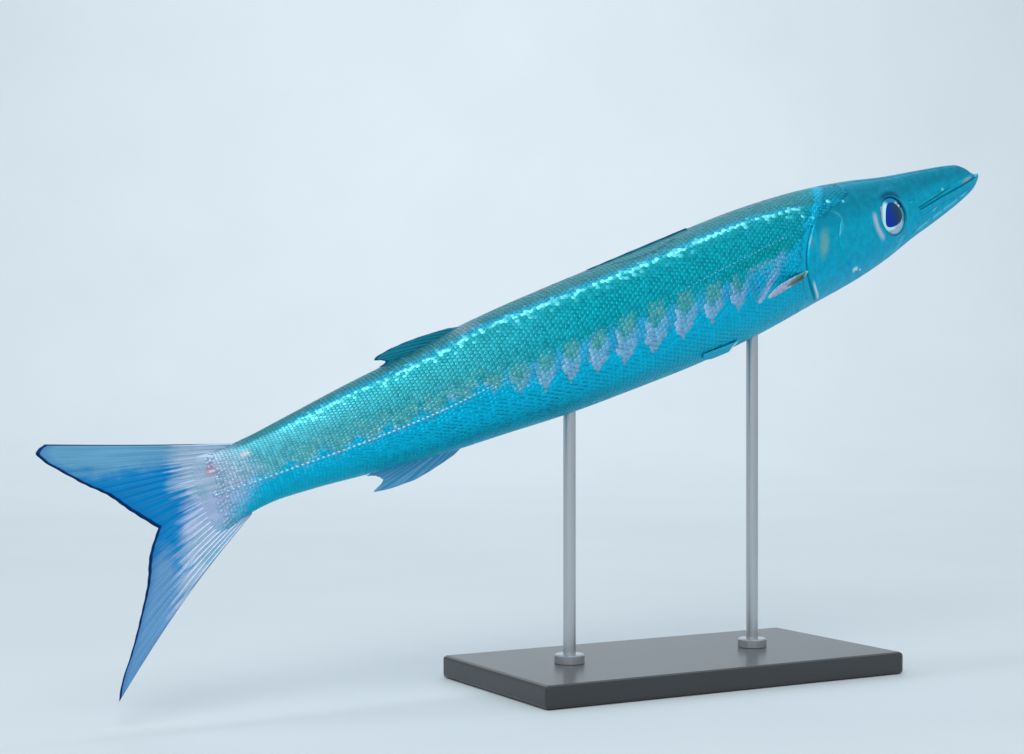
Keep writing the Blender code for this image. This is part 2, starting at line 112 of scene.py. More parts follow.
back = curve((0, 0.0150), (0.03, 0.0240), (0.09, 0.0352), (0.14, 0.0430), (0.20, 0.0552),
             (0.25, 0.0625), (0.32, 0.0682), (0.38, 0.0699), (0.44, 0.0690), (0.50, 0.0677),
             (0.56, 0.0673), (0.62, 0.0663), (0.68, 0.0643), (0.73, 0.0610), (0.78, 0.0556),
             (0.86, 0.0490), (0.93, 0.0418), (0.97, 0.0380), (1.0, 0.0376), (1.035, 0.0435))
belly = curve((0, -0.0060), (0.03, -0.0160), (0.08, -0.0278), (0.13, -0.0370), (0.18, -0.0482),
              (0.22, -0.0544), (0.30, -0.0612), (0.38, -0.0676), (0.46, -0.0703),
              (0.55, -0.0679), (0.64, -0.0637), (0.72, -0.0566), (0.77, -0.0525),
              (0.82, -0.0468), (0.87, -0.0398), (0.93, -0.0318), (0.97, -0.0290),
              (1.0, -0.0325), (1.035, -0.0440))
middle = curve((0, 0.0045), (0.048, 0.0), (0.083, -0.0018), (0.119, -0.0044), (0.16, -0.0058),
               (0.22, -0.0030), (0.30, -0.0010), (0.50, -0.0015), (0.80, 0.0), (1.0, 0.0015))
half_width = curve((0, 0.0085), (0.03, 0.0128), (0.06, 0.0168), (0.10, 0.0218), (0.14, 0.0275),
                   (0.18, 0.0340), (0.22, 0.0402), (0.27, 0.0462), (0.33, 0.0512),
                   (0.42, 0.0545), (0.52, 0.0548), (0.62, 0.0522), (0.70, 0.0478),
                   (0.78, 0.0410), (0.86, 0.0322), (0.93, 0.0225), (0.97, 0.0165),
                   (1.0, 0.0105), (1.02, 0.0044), (1.035, 0.0006))
back_squareness = curve((0, 2.2), (0.08, 2.5), (0.20, 2.45), (0.32, 2.2), (1.0, 2.05))
belly_squareness = curve((0, 2.0), (0.25, 2.1), (0.50, 2.2), (0.80, 2.1), (1.0, 2.0))

# Lines along the flank: the row of pored scales, and the crest where the back turns over, along
# which a highlight is painted
lateral_line = curve((0.31, 0.0300), (0.41, 0.0245), (0.50, 0.0180), (0.60, 0.0120),
                     (0.70, 0.0040), (0.78, -0.0030), (0.86, -0.0045), (0.95, -0.0026),
                     (1.03, -0.0005))
crest_line = curve((0.22, 0.0425), (0.26, 0.0460), (0.3045, 0.0514), (0.3427, 0.0555),
                   (0.50, 0.0552), (0.64, 0.0545), (0.71, 0.0535), (0.755, 0.0480),
                   (0.80, 0.0442), (0.86, 0.0412), (0.92, 0.0355), (0.96, 0.0325),
                   (1.0, 0.0310))


def place(s, y, z):
    """World points, in metres, for places on the fish, with y to its left."""
    s, y, z = np.broadcast_arrays(s, y, z)
    return (np.array((SNOUT_X, 0, SNOUT_Z)) + LENGTH * (
        z[..., None] * UPWARD - s[..., None] * HEADING + y[..., None] * np.array((0, 1, 0))))


def rounded(s, tip):
    """How a snout opens from its tip: a quarter circle, then full size."""
    t = np.clip((s - tip) / SNOUT_ROUND, 0, 1)
    return np.sqrt(1 - (1 - t) ** 2)


def smooth(value, low, high):
    """0 below low, 1 above high, and an S curve between them."""
    t = np.clip((value - low) / (high - low), 0, 1)
    return t * t * (3 - 2 * t)


def bump(value, width):
    """A bell: 1 where the value is 0, and near 0 two widths away."""
    return np.exp(-(value / width) ** 2)

def window(value, low, full, end, high):
    """0 below low, 1 from full to end, and 0 again above high."""
    return smooth(value, low, full) * (1 - smooth(value, end, high))


def ring(s, angle):
    """A section of the body: y and z at an angle in degrees, 90 at the back, -90 below.

    Each half of the section is a superellipse, and the snout closes as a quarter circle,
    the upper jaw a little behind the lower one.
    """
    s, angle = np.broadcast_arrays(s, angle)
    turn = np.radians(angle)
    upper = angle >= 0
    size = np.where(upper, rounded(s, UPPER_JAW_TIP), rounded(s, 0.0))
    power = np.where(upper, back_squareness(s), belly_squareness(s))
    full = np.where(upper, back(s) - middle(s), middle(s) - belly(s)) * size
    z = middle(s) + np.sign(turn) * full * np.abs(np.sin(turn)) ** (2 / power)
    wide = half_width(s) * rounded(s, 0.0)
    return wide * np.clip(np.cos(turn), 0, 1) ** (2 / power), z


def on_body(s, angle, side):
    """World points of the body's surface."""
    y, z = ring(s, angle)
    return place(s, side * y, z)


def outward(s, angle, side):
    """The directions straight out of the body, from its slopes along and around."""
    along = on_body(s + 0.002, angle, side) - on_body(s - 0.002, angle, side)
    around = on_body(s, np.clip(angle + 1.5, -90, 90), side) - on_body(
        s, np.clip(angle - 1.5, -90, 90), side)
    out = np.cross(along, around) * np.reshape(side, np.shape(side) + (1,))
    return out / np.maximum(np.linalg.norm(out, axis=-1, keepdims=True), 1e-12)


def angle_at(s, z):
    """The angle at which the body's surface has a height z: the section's formula undone."""
    upper = z > middle(s)
    power = np.where(upper, back_squareness(s), belly_squareness(s))
    full = np.where(upper, back(s), belly(s)) - middle(s)
    part = np.clip((z - middle(s)) / full, 0, 1)
    return np.degrees(np.arcsin(part ** (power / 2))) * np.where(upper, 1, -1)


def preopercle_edge(z):
    """Where the edge of the cheek lies: an arc that bows backwards."""
    return CHEEK_EDGE - 18.0 * (z + 0.005) ** 2


def gill_opening(z):
    """Where the gill cover ends: a longer arc that bows backwards."""
    return GILL_EDGE - 12.2 * (z + 0.018) ** 2


# Mesh helpers

def mesh_object(name, points, faces, attributes=(), smooth_faces=True):
    """A new object from arrays: points (n, 3), faces (m, 3 or 4) and point attributes."""
    points = np.asarray(points, dtype=np.float32).reshape(-1, 3)
    groups = [np.asarray(group) for group in (faces if isinstance(faces, list) else [faces])]
    corners = np.concatenate([group.ravel() for group in groups]).astype(np.int32)
    sizes = np.concatenate([np.full(len(group), group.shape[1]) for group in groups])
    mesh = bpy.data.meshes.new(name)
    mesh.vertices.add(len(points))
    mesh.vertices.foreach_set("co", points.ravel())
    mesh.loops.add(len(corners))
    mesh.loops.foreach_set("vertex_index", corners)
    mesh.polygons.add(len(sizes))
    mesh.polygons.foreach_set("loop_start", np.concatenate([[0], np.cumsum(sizes)[:-1]]))
    even = np.broadcast_to(np.asarray(smooth_faces, dtype=bool), len(sizes))
    mesh.polygons.foreach_set("use_smooth", even)
    for label, values in dict(attributes).items():
        layer = mesh.attributes.new(label, "FLOAT_VECTOR", "POINT")
        layer.data.foreach_set("vector", np.asarray(values, dtype=np.float32).ravel())
    mesh.update(calc_edges=True)
    mesh.validate()
    obj = bpy.data.objects.new(name, mesh)
    bpy.context.scene.collection.objects.link(obj)
    return obj


def triples(*parts):
    """Arrays side by side, as rows of three numbers."""
    return np.stack(np.broadcast_arrays(*parts), axis=-1).reshape(-1, 3)

def sided(name, side):
    """A piece's name with the side of the fish that it is on."""
    return name + ("_left" if side > 0 else "_right")

def grid_faces(rows, columns, closed=False):
    """Quads between the rows of a grid, whose rows may be closed rings."""
    last = columns if closed else columns - 1
    i, j = np.meshgrid(np.arange(rows - 1), np.arange(last), indexing="ij")
    k = (j + 1) % columns
    return np.stack([i * columns + j, i * columns + k,
                     (i + 1) * columns + k, (i + 1) * columns + j], axis=-1).reshape(-1, 4)

def closed_tube(rows, columns):
    """Faces of a tube of rings, closed on the two points that follow its last ring."""
    j, end = np.arange(columns), rows * columns
    k = (j + 1) % columns
    caps = np.concatenate([triples(end, k, j),
                           triples(end + 1, end - columns + j, end - columns + k)])
    return [grid_faces(rows, columns, closed=True), caps]


def outwards(obj):
    """Turn a closed mesh's faces out, by the sign of the volume that they hold."""
    mesh = obj.data
    mesh.calc_loop_triangles()
    corners = np.empty(len(mesh.loop_triangles) * 3, dtype=np.int32)
    mesh.loop_triangles.foreach_get("vertices", corners)
    points = np.empty(len(mesh.vertices) * 3, dtype=np.float32)
    mesh.vertices.foreach_get("co", points)
    a, b, c = points.reshape(-1, 3)[corners.reshape(-1, 3)].transpose(1, 0, 2)
    if np.einsum("ij,ij->i", a, np.cross(b, c)).sum() < 0:
        mesh.flip_normals()
    return obj


def dress(obj, material, slot, *nodes):
    """Give a piece its material and let it ride in its nodes' place. The record slot is not used.
    """
    obj.data.materials.append(material)
    if nodes:
        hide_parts(*nodes)
    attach(obj, "root")


def fish_attributes(s, z, chance):
    """What the paint reads: the place on the fish with a random number, and its lines."""
    s, z, chance = np.broadcast_arrays(s, z, chance)
    lines = (z - lateral_line(s), z - crest_line(s), (z - belly(s)) / (back(s) - belly(s)))
    edges = (z - middle(s), s - preopercle_edge(z), s - gill_opening(z))
    return {"place": triples(s, z, chance), "lines": triples(*lines), "edges": triples(*edges)}


# Shader maths

class Value:
    """A socket that can be used in a Python expression, which adds its Math nodes."""

    def __init__(self, finish, socket):
        self.finish = finish
        self.socket = socket

    def math(self, operation, *others):
        values = {0: self.socket}
        values.update({i + 1: getattr(other, "socket", other) for i, other in enumerate(others)})
        node = self.finish.node("ShaderNodeMath", {"operation": operation}, values)
        return Value(self.finish, node.outputs[0])

    def __add__(self, other):
        return self.math("ADD", other)

    __radd__ = __add__

    def __mul__(self, other):
        return self.math("MULTIPLY", other)

    def __sub__(self, other):
        return self.math("SUBTRACT", other)

    def __rsub__(self, other):
        return (self * -1.0).math("ADD", other)

    def __truediv__(self, other):
        return self.math("DIVIDE", other)

    def __pow__(self, other):
        return self.math("POWER", other)

    def __abs__(self):
        return self.math("ABSOLUTE")

    def at_most(self, other):
        return self.math("MINIMUM", other)

    def at_least(self, other):
        return self.math("MAXIMUM", other)

    def step(self, low, high):
        """0 at low, 1 at high, and a smooth rise between; low may be above high."""
        values = {"Value": self.socket, "From Min": getattr(low, "socket", low),
                  "From Max": getattr(high, "socket", high)}
        node = self.finish.node("ShaderNodeMapRange", {"interpolation_type": "SMOOTHSTEP"},
                                values)
        return Value(self.finish, node.outputs["Result"])

    def within(self, low, full, end, high):
        """0 below low, 1 from full to end, and 0 again above high."""
        return self.step(low, full) * self.step(high, end)

    def bell(self, centre, width):
        """1 at the centre, falling smoothly to 0 a width away."""
        return abs(self - centre).step(width, 0.0)


def linear(colour):
    """A colour as the eye names it, in the renderer's linear numbers."""
    return [c / 12.92 if c <= 0.04045 else ((c + 0.055) / 1.055) ** 2.4 for c in colour]


class Finish:
    """A material being made: one Principled shader and the nodes before it."""

    def __init__(self, name, **settings):
        self.material = bpy.data.materials.new(name)
        self.material.use_nodes = True
        self.tree = self.material.node_tree
        self.shader = self.tree.nodes["Principled BSDF"]
        self.set(**settings)

    def set(self, **values):
        """Set or link the shader's sockets, named with underscores for spaces."""
        for name, value in values.items():
            self._put(self.shader.inputs[name.replace("_", " ")], value)

    def _put(self, socket, value):
        value = getattr(value, "socket", value)
        if isinstance(value, bpy.types.NodeSocket):
            self.tree.links.new(value, socket)
        elif socket.type == "RGBA":
            socket.default_value = (*linear(value), 1.0)
        else:
            socket.default_value = value

    def node(self, kind, settings=None, values=None):
        """Any node: its type, its settings and the values or links of its sockets."""
        node = self.tree.nodes.new(kind)
        for name, value in (settings or {}).items():
            setattr(node, name, value)
        for name, value in (values or {}).items():
            self._put(node.inputs[name], value)
        return node

    def attribute(self, name):
        """A point attribute's three numbers."""
        node = self.node("ShaderNodeAttribute", {"attribute_name": name})
        parts = self.node("ShaderNodeSeparateXYZ", values={0: node.outputs["Vector"]})
        return [Value(self, parts.outputs[i]) for i in range(3)]

    def objects_place(self):
        """The object coordinates, in metres."""
        return self.node("ShaderNodeTexCoord").outputs["Object"]

    def noise(self, scale, detail=2.0, vector=None, stretch=None):
        """Noise from 0 to 1 over the object coordinates, or over a vector."""
        vector = self.objects_place() if vector is None else vector
        if stretch:
            vector = self.node("ShaderNodeVectorMath", {"operation": "MULTIPLY"},
                               {0: vector, 1: stretch}).outputs[0]
        node = self.node("ShaderNodeTexNoise",
                         values={"Vector": vector, "Scale": scale, "Detail": detail})
        return Value(self, node.outputs[0])

    def vector(self, x, y, z=0.0):
        """Three values joined as a vector."""
        return self.node("ShaderNodeCombineXYZ", values={0: x, 1: y, 2: z}).outputs[0]

    def mix(self, factor, one, two):
        """A colour between one and two."""
        node = self.node("ShaderNodeMix", {"data_type": "RGBA"}, {"Factor": factor})
        self._put(node.inputs[6], one)
        self._put(node.inputs[7], two)
        return node.outputs[2]

    def brighten(self, colour, amount):
        """A colour times a value."""
        colour = linear(colour) if isinstance(colour, tuple) else colour
        node = self.node("ShaderNodeVectorMath", {"operation": "SCALE"},
                         {0: colour, "Scale": amount})
        return node.outputs[0]

    def bumps(self, height, distance, strength):
        """A normal from a height."""
        values = {"Height": height, "Distance": distance, "Strength": strength}
        return self.node("ShaderNodeBump", values=values).outputs[0]


# Paint

TOOTH_FIRST = 0.4254         # the tip of one saw tooth, and how far the next ones lie behind
TOOTH_PITCH = 0.0342
DEEP_TEAL = (0.00, 0.58, 0.70)
UPPER_TEAL = (0.00, 0.62, 0.69)
REAR_TEAL = (0.20, 0.66, 0.71)
BACK_GREY = (0.22, 0.50, 0.55)
BELLY_CYAN = (0.00, 0.72, 0.87)
BELLY_TEAL = (0.00, 0.71, 0.83)
CHEEK_CYAN = (0.00, 0.70, 0.83)
# The colour of the crest's painted highlight
GLINT = (0.50, 0.98, 1.00)
LAVENDER = (0.46, 0.72, 0.87)
PALE = (0.62, 0.80, 0.93)
GAP_BLUE = (0.06, 0.68, 0.86)
OLIVE = (0.40, 0.70, 0.70)
TAIL_PALE = (0.62, 0.73, 0.83)
NAVY = (0.00, 0.18, 0.38)
MEMBRANE = (0.00, 0.52, 0.78)
PINK = (0.86, 0.66, 0.60)
# The white of the painted highlights
WHITE = (0.90, 0.96, 0.98)
GROOVE_SHADE = (0.00, 0.20, 0.28)


def spots(x, y, weight, *places):
    """Soft round spots at places (x, y, edge, core), added up. A weight over 1 flattens them."""
    total = 0.0
    for at_x, at_y, edge, core in places:
        away = ((x - at_x) ** 2.0 + (y - at_y) ** 2.0 * weight).math("SQRT")
        total = away.step(edge, core) + total
    return total

def tail_pale(finish, s, z):
    """The pale root of the tail, the streaks that fan out along its rays, and its clouds."""
    streaks = finish.noise(1.0, 3.0, finish.vector(z / (s - 0.89) * 44.0, s * 14.0))
    cloud = finish.noise(1.0, 3.0, finish.vector(s * 60.0, z * 60.0))
    pale = finish.mix(streaks.step(0.38, 0.64) * 0.6, TAIL_PALE, (0.78, 0.84, 0.93))
    pale = finish.mix(cloud.step(0.50, 0.72) * 0.45, pale, (0.40, 0.66, 0.76))
    low = z.within(-0.040, -0.020, -0.004, 0.006)
    pale = finish.mix(low * 0.35, pale, (0.72, 0.74, 0.92))
    return pale, streaks, cloud


def body_paint(finish):
    """The markings of the whole body, read from where each point lies on the fish.

    Grey-teal back, a painted highlight along its crest as a line of glints, teal flank and
    cyan belly. Between flank and belly hang the saw's teeth: their tips repeat along s, lean
    back towards the tip, and carry an olive patch at the top. Behind them the border is a
    low zigzag. Painted shade darkens the head's grooves and the first back fin's groove, and
    painted highlights lie on the jaw, the gill cover and the tail's root.
    Returns the colour and how much painted highlight it carries.
    """
    s, z, chance = finish.attribute("place")
    side_line, crest, part = finish.attribute("lines")
    here = finish.vector(s, z, chance * 0.002)
    fine = finish.noise(560.0, 3.0, here)
    rough = finish.noise(120.0, 3.0, here)
    jag = (fine - 0.5) * 0.022 + (rough - 0.5) * 0.014

    # Flank and belly, and the border between them
    belly_colour = finish.mix(part.step(0.02, 0.30), BELLY_TEAL, BELLY_CYAN)
    rear = s.step(0.58, 0.80)
    flank = finish.mix(rear, UPPER_TEAL, REAR_TEAL)
    flank = finish.mix(s.step(0.80, 0.95) * 0.7, flank, (0.34, 0.70, 0.77))
    flank = finish.brighten(flank, (rough * 0.6 + fine * 0.6).step(0.35, 0.85) * 0.34 + 0.84)
    phase = (s - TOOTH_FIRST - s.bell(0.60, 0.18) * 0.015 + (z + 0.030) * 0.33) / TOOTH_PITCH
    fold = abs((phase + 0.5).math("FRACT") - 0.5) * 2.0
    tooth = 1.0 - fold
    tip = s.bell(0.545, 0.11) * -0.0065 - 0.0262
    over_front = z - tip - fold ** 0.8 * 0.0190 - jag * 0.40
    over_rear = side_line + 0.0020 - fold * 0.0095 - jag * 0.60
    over_first = z - 0.013 + (s - 0.330) * 0.64 - jag * 0.30
    into_rear = s.step(0.67, 0.745)
    into_teeth = s.step(0.392, 0.406)
    over = over_front * (1.0 - into_rear) + over_rear * into_rear
    over = over * into_teeth + over_first * (1.0 - into_teeth)
    toothed = into_teeth * (1.0 - into_rear)

    # Teeth: lavender, flecked with white behind, blue between them, olive above
    low = (over / 0.010).step(1.0, 0.1)
    teeth = finish.mix(low * 0.45, LAVENDER, (0.56, 0.66, 0.74))
    teeth = finish.mix((fold + (rough - 0.5) * 0.9).step(0.46, 0.80) * 0.85, teeth, GAP_BLUE)
    flecks = phase.math("FRACT").bell(0.27, 0.24) * (fine * 0.9 + chance * 0.3)
    teeth = finish.mix(flecks.step(0.36, 0.56) * 0.8, teeth, PALE)
    top = (z + tooth * 0.019 - 0.011 + jag * 0.8).step(-0.0045, 0.0045)
    marks = finish.mix(toothed * (1.0 - top), flank, teeth)
    streaks = finish.noise(1.0, 2.0, finish.vector(s * 60.0 - z * 90.0, z * 900.0 + s * 250.0))
    olive_height = s.bell(0.515, 0.10) * 0.004 + 0.004
    olive = abs(z - olive_height + jag * 0.9).step(0.0130, 0.0040)
    olive = olive * (tooth + (rough - 0.5) * 0.5).step(0.34, 0.66)
    olive = olive * streaks.step(0.20, 0.60) * s.step(0.408, 0.420) * (1.0 - into_rear)
    marks = finish.mix(olive * 0.78, marks, OLIVE)

    # Behind the gill cover: a green band, an olive streak, a lavender one and a blue patch
    early = s.within(0.322, 0.334, 0.395, 0.425)
    marks = finish.mix((side_line + 0.0058).bell(0.0, 0.0060) * early * 0.7, marks,
                       (0.00, 0.60, 0.62))
    over_streak = z.step(0.020, 0.010) * (1.0 - into_teeth)
    blue = s.within(0.318, 0.326, 0.392, 0.405) * z.step(0.017, 0.008)
    marks = finish.mix(blue * 0.9, marks, finish.mix((rough + fine).step(0.8, 1.2), BELLY_CYAN,
                                                     (0.30, 0.70, 0.88)))
    streak = (z - 0.0103 + jag * 0.3).bell(0.0, 0.0042) * s.within(0.358, 0.368, 0.392, 0.402)
    marks = finish.mix(streak * 0.75, marks, OLIVE)
    lavender = (s - 0.3530 + (z - 0.0099) * 1.075 + jag * 0.5).bell(0.0, 0.0095) * over_streak
    marks = finish.mix(lavender * 0.8, marks, finish.mix(z.step(0.0, -0.014), LAVENDER,
                                                         (0.76, 0.80, 0.92)))
    tan = over.bell(0.008, 0.015) * s.within(0.62, 0.72, 0.94, 0.99)
    tan = tan * (fine * 0.5 + rough * 0.7 + tooth * 0.15).step(0.52, 0.74)
    marks = finish.mix(tan * 0.62, marks, OLIVE)
    colour = finish.mix(over.step(-0.0006, 0.0012), belly_colour, marks)
    scribble = finish.noise(230.0, 1.5, here)
    scribble = abs(scribble - 0.5).step(0.060, 0.020) * over.bell(0.0015, 0.0095)
    scribble = scribble * s.within(0.60, 0.72, 0.93, 1.0)
    colour = finish.mix(scribble * 0.7, colour, finish.mix(rough.step(0.4, 0.6), GAP_BLUE, PALE))

    # Back and crest: the grey back, painted shade in the first back fin's groove, and a painted
    # sheen before the second
    behind = s.step(0.245, 0.300)
    grey = finish.mix(fine.step(0.3, 0.8) * 0.5, BACK_GREY, REAR_TEAL)
    colour = finish.mix(crest.step(0.000, 0.0030) * behind, colour, grey)
    # Painted shade: a dark line in the groove where the first back fin lies
    groove = (z - 0.0630 - (s - 0.495) ** 2.0 * 2.0).bell(0.0, 0.0010)
    groove = groove * s.within(0.444, 0.453, 0.528, 0.537)
    colour = finish.mix(groove * 0.7, colour, (0.00, 0.34, 0.44))
    # Painted sheen: pinkish grey on the back before the second back fin
    sheen = s.bell(0.722, 0.024) * crest.step(0.002, 0.007)
    colour = finish.mix(sheen * 0.6, colour, (0.52, 0.60, 0.68))

    # The head's own colours, up to the gill cover's edge, with painted shade in its grooves
    mouth, cheek, gill = finish.attribute("edges")
    head = (gill + jag * 0.4).step(0.006, -0.006)
    face = finish.mix(part.step(0.22, 0.50), BELLY_CYAN, CHEEK_CYAN)
    face = finish.mix((part + jag * 3.0).step(0.52, 0.80), face, DEEP_TEAL)
    face = finish.brighten(face, rough.step(0.3, 0.75) * 0.22 + 0.86)
    patch = (s - 0.2885 + z * 0.45).bell(0.0, 0.0105) * (z - 0.0060).bell(0.0, 0.0200)
    patch = patch + (s - 0.306).bell(0.0, 0.010) * (z - 0.018).bell(0.0, 0.014) * 0.8
    patch = (patch * 1.5).at_most(1.0) * (rough * 0.6 + fine * 0.5).step(0.28, 0.54)
    face = finish.mix(patch * 0.85, face, (0.46, 0.73, 0.72))
    arc = (s - 0.2485 - (z - 0.0225) ** 2.0 * 60.0 + jag * 0.15).bell(0.0, 0.0032)
    arc = arc * z.within(0.002, 0.010, 0.030, 0.038) * rough.step(0.25, 0.55)
    face = finish.mix(arc * 0.7, face, (0.34, 0.72, 0.78))
    ray = (s - 0.300 + z * 0.30).bell(0.0, 0.0028) * z.within(-0.016, -0.004, 0.022, 0.034)
    face = finish.mix(ray * 0.45, face, (0.10, 0.74, 0.88))
    jawed = s.step(0.130, 0.110)
    lip = (mouth + 0.0045).bell(0.0, 0.0045) * jawed * s.step(0.0, 0.02)
    face = finish.mix(lip * 0.5, face, (0.06, 0.70, 0.82))
    # Painted shade in the head's grooves: along the mouth, its seam and the creases beside it,
    # behind the cheek's edge and in the gill opening
    dark = mouth.bell(0.0, 0.0016) * s.within(0.008, 0.014, 0.116, 0.130)
    face = finish.mix(dark * 0.35, face, GROOVE_SHADE)
    seam = (z + 0.0019 - (0.1244 - s) * 0.105).bell(0.0, 0.0014)
    face = finish.mix(seam * s.within(0.050, 0.075, 0.120, 0.127) * 0.75, face, GROOVE_SHADE)
    crease = (mouth + 0.0076).bell(0.0, 0.0012) + (mouth - 0.0076).bell(0.0, 0.0012)
    face = finish.mix(crease * jawed * 0.20, face, GROOVE_SHADE)
    edge = cheek.bell(0.0024, 0.0022) * z.within(-0.050, -0.040, 0.012, 0.028)
    face = finish.mix(edge * 0.35, face, DEEP_TEAL)
    colour = finish.mix(head, colour, face)
    slit = gill.bell(0.0022, 0.0026) * z.within(-0.060, -0.050, 0.024, 0.034)
    colour = finish.mix(slit * 0.55, colour, GROOVE_SHADE)

    # Round the eye: a shadow above it and a rosy crescent fold behind
    rear, up = s - EYE_PLACE[0], z - EYE_PLACE[1]
    away = (rear * rear + up * up).math("SQRT").at_least(0.0001)
    brow = away.bell(0.0192 / LENGTH, 0.0032 / LENGTH) * (
        (up * 0.97 - rear * 0.24) / away).step(0.70, 0.92)
    colour = finish.mix(brow * 0.85, colour, (0.00, 0.30, 0.46))
    fold = away.bell(0.0236 / LENGTH, 0.0044 / LENGTH) * (
        (rear * 0.99 - up * 0.14) / away).step(0.80, 0.96)
    colour = finish.mix(fold * 0.85, colour, (0.82, 0.84, 0.92))

    # Painted highlights: glints along the lower jaw, over the cheek's corner and on the gill
    # cover's rim
    broken = finish.noise(75.0, 2.0, here)
    jaw = (z + 0.0040 + s * 0.176).bell(0.0, 0.0026) * s.within(0.028, 0.040, 0.124, 0.136)
    jaw = jaw * broken.step(0.33, 0.50)
    upper_jaw_glint = (z + 0.0117 + (s - 0.0958) * 0.25).bell(0.0, 0.0016) * s.bell(0.096, 0.008)
    line = z + 0.0300 + (s - 0.1569) * 0.48 + (s - 0.1569) ** 2.0 * 16.0
    jaw_streak_glints = (line.bell(0.0, 0.0014) + (line - 0.0042).bell(0.0, 0.0012) * 0.6) * s.step(0.153, 0.158)
    jaw_streak_glints = (jaw_streak_glints + upper_jaw_glint) * s.step(0.176, 0.170)
    rim = (gill + 0.0030).bell(0.0, 0.0030) * z.within(-0.054, -0.048, -0.034, -0.026)
    glint_dabs = spots(s, z, 2.0, (0.244, -0.037, 0.0060, 0.0020), (0.235, -0.040, 0.0022, 0.0010),
                 (0.0755, 0.0062, 0.0040, 0.0010))
    glints = (jaw + jaw_streak_glints + rim + glint_dabs).at_most(1.0)
    # The painted highlights' colour: cyan on the jaw, white from the cheek back
    sheen = finish.mix(s.step(0.180, 0.220), (0.40, 0.90, 0.96), WHITE)
    colour = finish.mix(glints * 0.85, colour, sheen)
    rosy = (mouth - 0.0030).bell(0.0, 0.0030) * s.bell(0.031, 0.012)
    colour = finish.mix(rosy * 0.75, colour, PINK)

    # The crest's painted highlight, painted glints on the tail's root, and the pale root of the
    # tail
    pale, streaks, _ = tail_pale(finish, s, z)
    tail = (s - abs(z - 0.006) * 0.75 + z * 0.25 + jag * 1.6).step(0.955, 1.005)
    colour = finish.mix(tail, colour, pale)
    # Painted highlights on the tail's root: a pale glint, then a rosy one with a white core behind
    # it
    tail_root_glint = spots(s, z, 4.0, (0.9801, 0.0256, 0.0075, 0.0020))
    colour = finish.mix(tail_root_glint * 0.8, colour, (0.84, 0.82, 0.86))
    from_tail_glint = ((s - 1.0150) ** 2.0 + (z - 0.0225) ** 2.0).math("SQRT")
    colour = finish.mix(from_tail_glint.step(0.0080, 0.0020) * 0.7, colour, (0.74, 0.56, 0.64))
    colour = finish.mix(from_tail_glint.step(0.0045, 0.0010) * streaks.step(0.45, 0.55), colour, WHITE)
    # The crest's painted highlight: beads of glint along the crest line, a soft painted glow each
    # side of it, and painted glint dashes and dots over the nape
    lit = s.within(0.286, 0.300, 0.915, 0.955)
    bead = (fine * 0.5 + chance * 0.8).step(0.20, 0.75)
    sparkle = (crest + (fine - 0.5) * 0.002).bell(0.0, 0.0028).step(0.15, 0.80) * lit
    glint_dash = (z - 0.0456 + (s - 0.262).at_most(0.0) * -0.20).bell(0.0, 0.0034)
    glint_dash = glint_dash * s.within(0.226, 0.236, 0.278, 0.286) * (fine + rough * 0.6).step(0.55, 0.85)
    colour = finish.mix(glint_dash * 0.65, colour, (0.00, 0.68, 0.88))
    glint_dots = spots(s, z, 1.0, (0.2540, 0.0460, 0.0026, 0.0008), (0.2345, 0.0400, 0.0026, 0.0008),
                 (0.2865, 0.0358, 0.0028, 0.0010), (0.2988, 0.0412, 0.0022, 0.0008))
    glint_dots = glint_dots + crest.bell(-0.0015, 0.0085) * lit * (chance + fine * 0.3).step(0.92, 1.05) * 0.7
    colour = finish.mix(crest.bell(0.0026, 0.0032) * lit * 0.6, colour, (0.00, 0.66, 0.86))
    colour = finish.mix(crest.bell(-0.003, 0.009) * lit * 0.30, colour, (0.06, 0.70, 0.76))
    sparkle = (sparkle * (bead * 0.5 + 0.5)).at_least(glint_dots.at_most(1.0))
    colour = finish.mix(sparkle, colour, finish.mix(bead, (0.06, 0.80, 0.90), GLINT))
    return colour, sparkle


def skin_material():
    """Bare skin: metallic, wet, with fine pits and the faint net of small scales."""
    finish = Finish("fish_skin", Metallic=0.62, Coat_Weight=0.03, Coat_Roughness=0.22,
                    Specular_IOR_Level=0.1)
    colour, _ = body_paint(finish)
    cells = finish.node("ShaderNodeTexVoronoi", {"feature": "DISTANCE_TO_EDGE"},
                        {"Vector": finish.objects_place(), "Scale": 620.0})
    net = Value(finish, cells.outputs["Distance"]).step(0.0, 0.25)
    grain = finish.noise(900.0, 3.0)
    finish.set(Base_Color=finish.brighten(colour, net * 0.10 + 0.93),
               Roughness=grain * 0.16 + 0.36,
               Normal=finish.bumps(net * 0.5 + grain * 0.7, 0.00016, 0.8))
    return finish.material


def scale_material():
    """Scales: each a little lighter in its middle; painted shade darkens its root, under the row
    ahead, and it is darker at its rim and sides.
    """
    finish = Finish("fish_scales", Metallic=0.62, Coat_Weight=0.03, Coat_Roughness=0.20,
                    Specular_IOR_Level=0.1)
    colour, sparkle = body_paint(finish)
    across, along, chance = finish.attribute("scale")
    _, _, part = finish.attribute("lines")
    upper = part.step(0.30, 0.55)
    # Painted shade at each scale's root, where it comes out from under the row ahead, stronger on
    # the upper body; the crest's painted highlight stays bright over it
    shade = (1.0 + (chance - 0.5) * 0.15 - (along.step(0.70, 0.30) + along.step(0.85, 1.0)
             + abs(across).step(0.6, 1.1) * 0.7) * (upper * 0.09 + 0.03))
    rings = (along * 30.0).math("SINE")
    finish.set(Base_Color=finish.brighten(colour, shade.at_least(sparkle)),
               Roughness=chance * 0.18 + 0.30 - sparkle * 0.08,
               Normal=finish.bumps(rings, 0.00002, 0.5))
    return finish.material


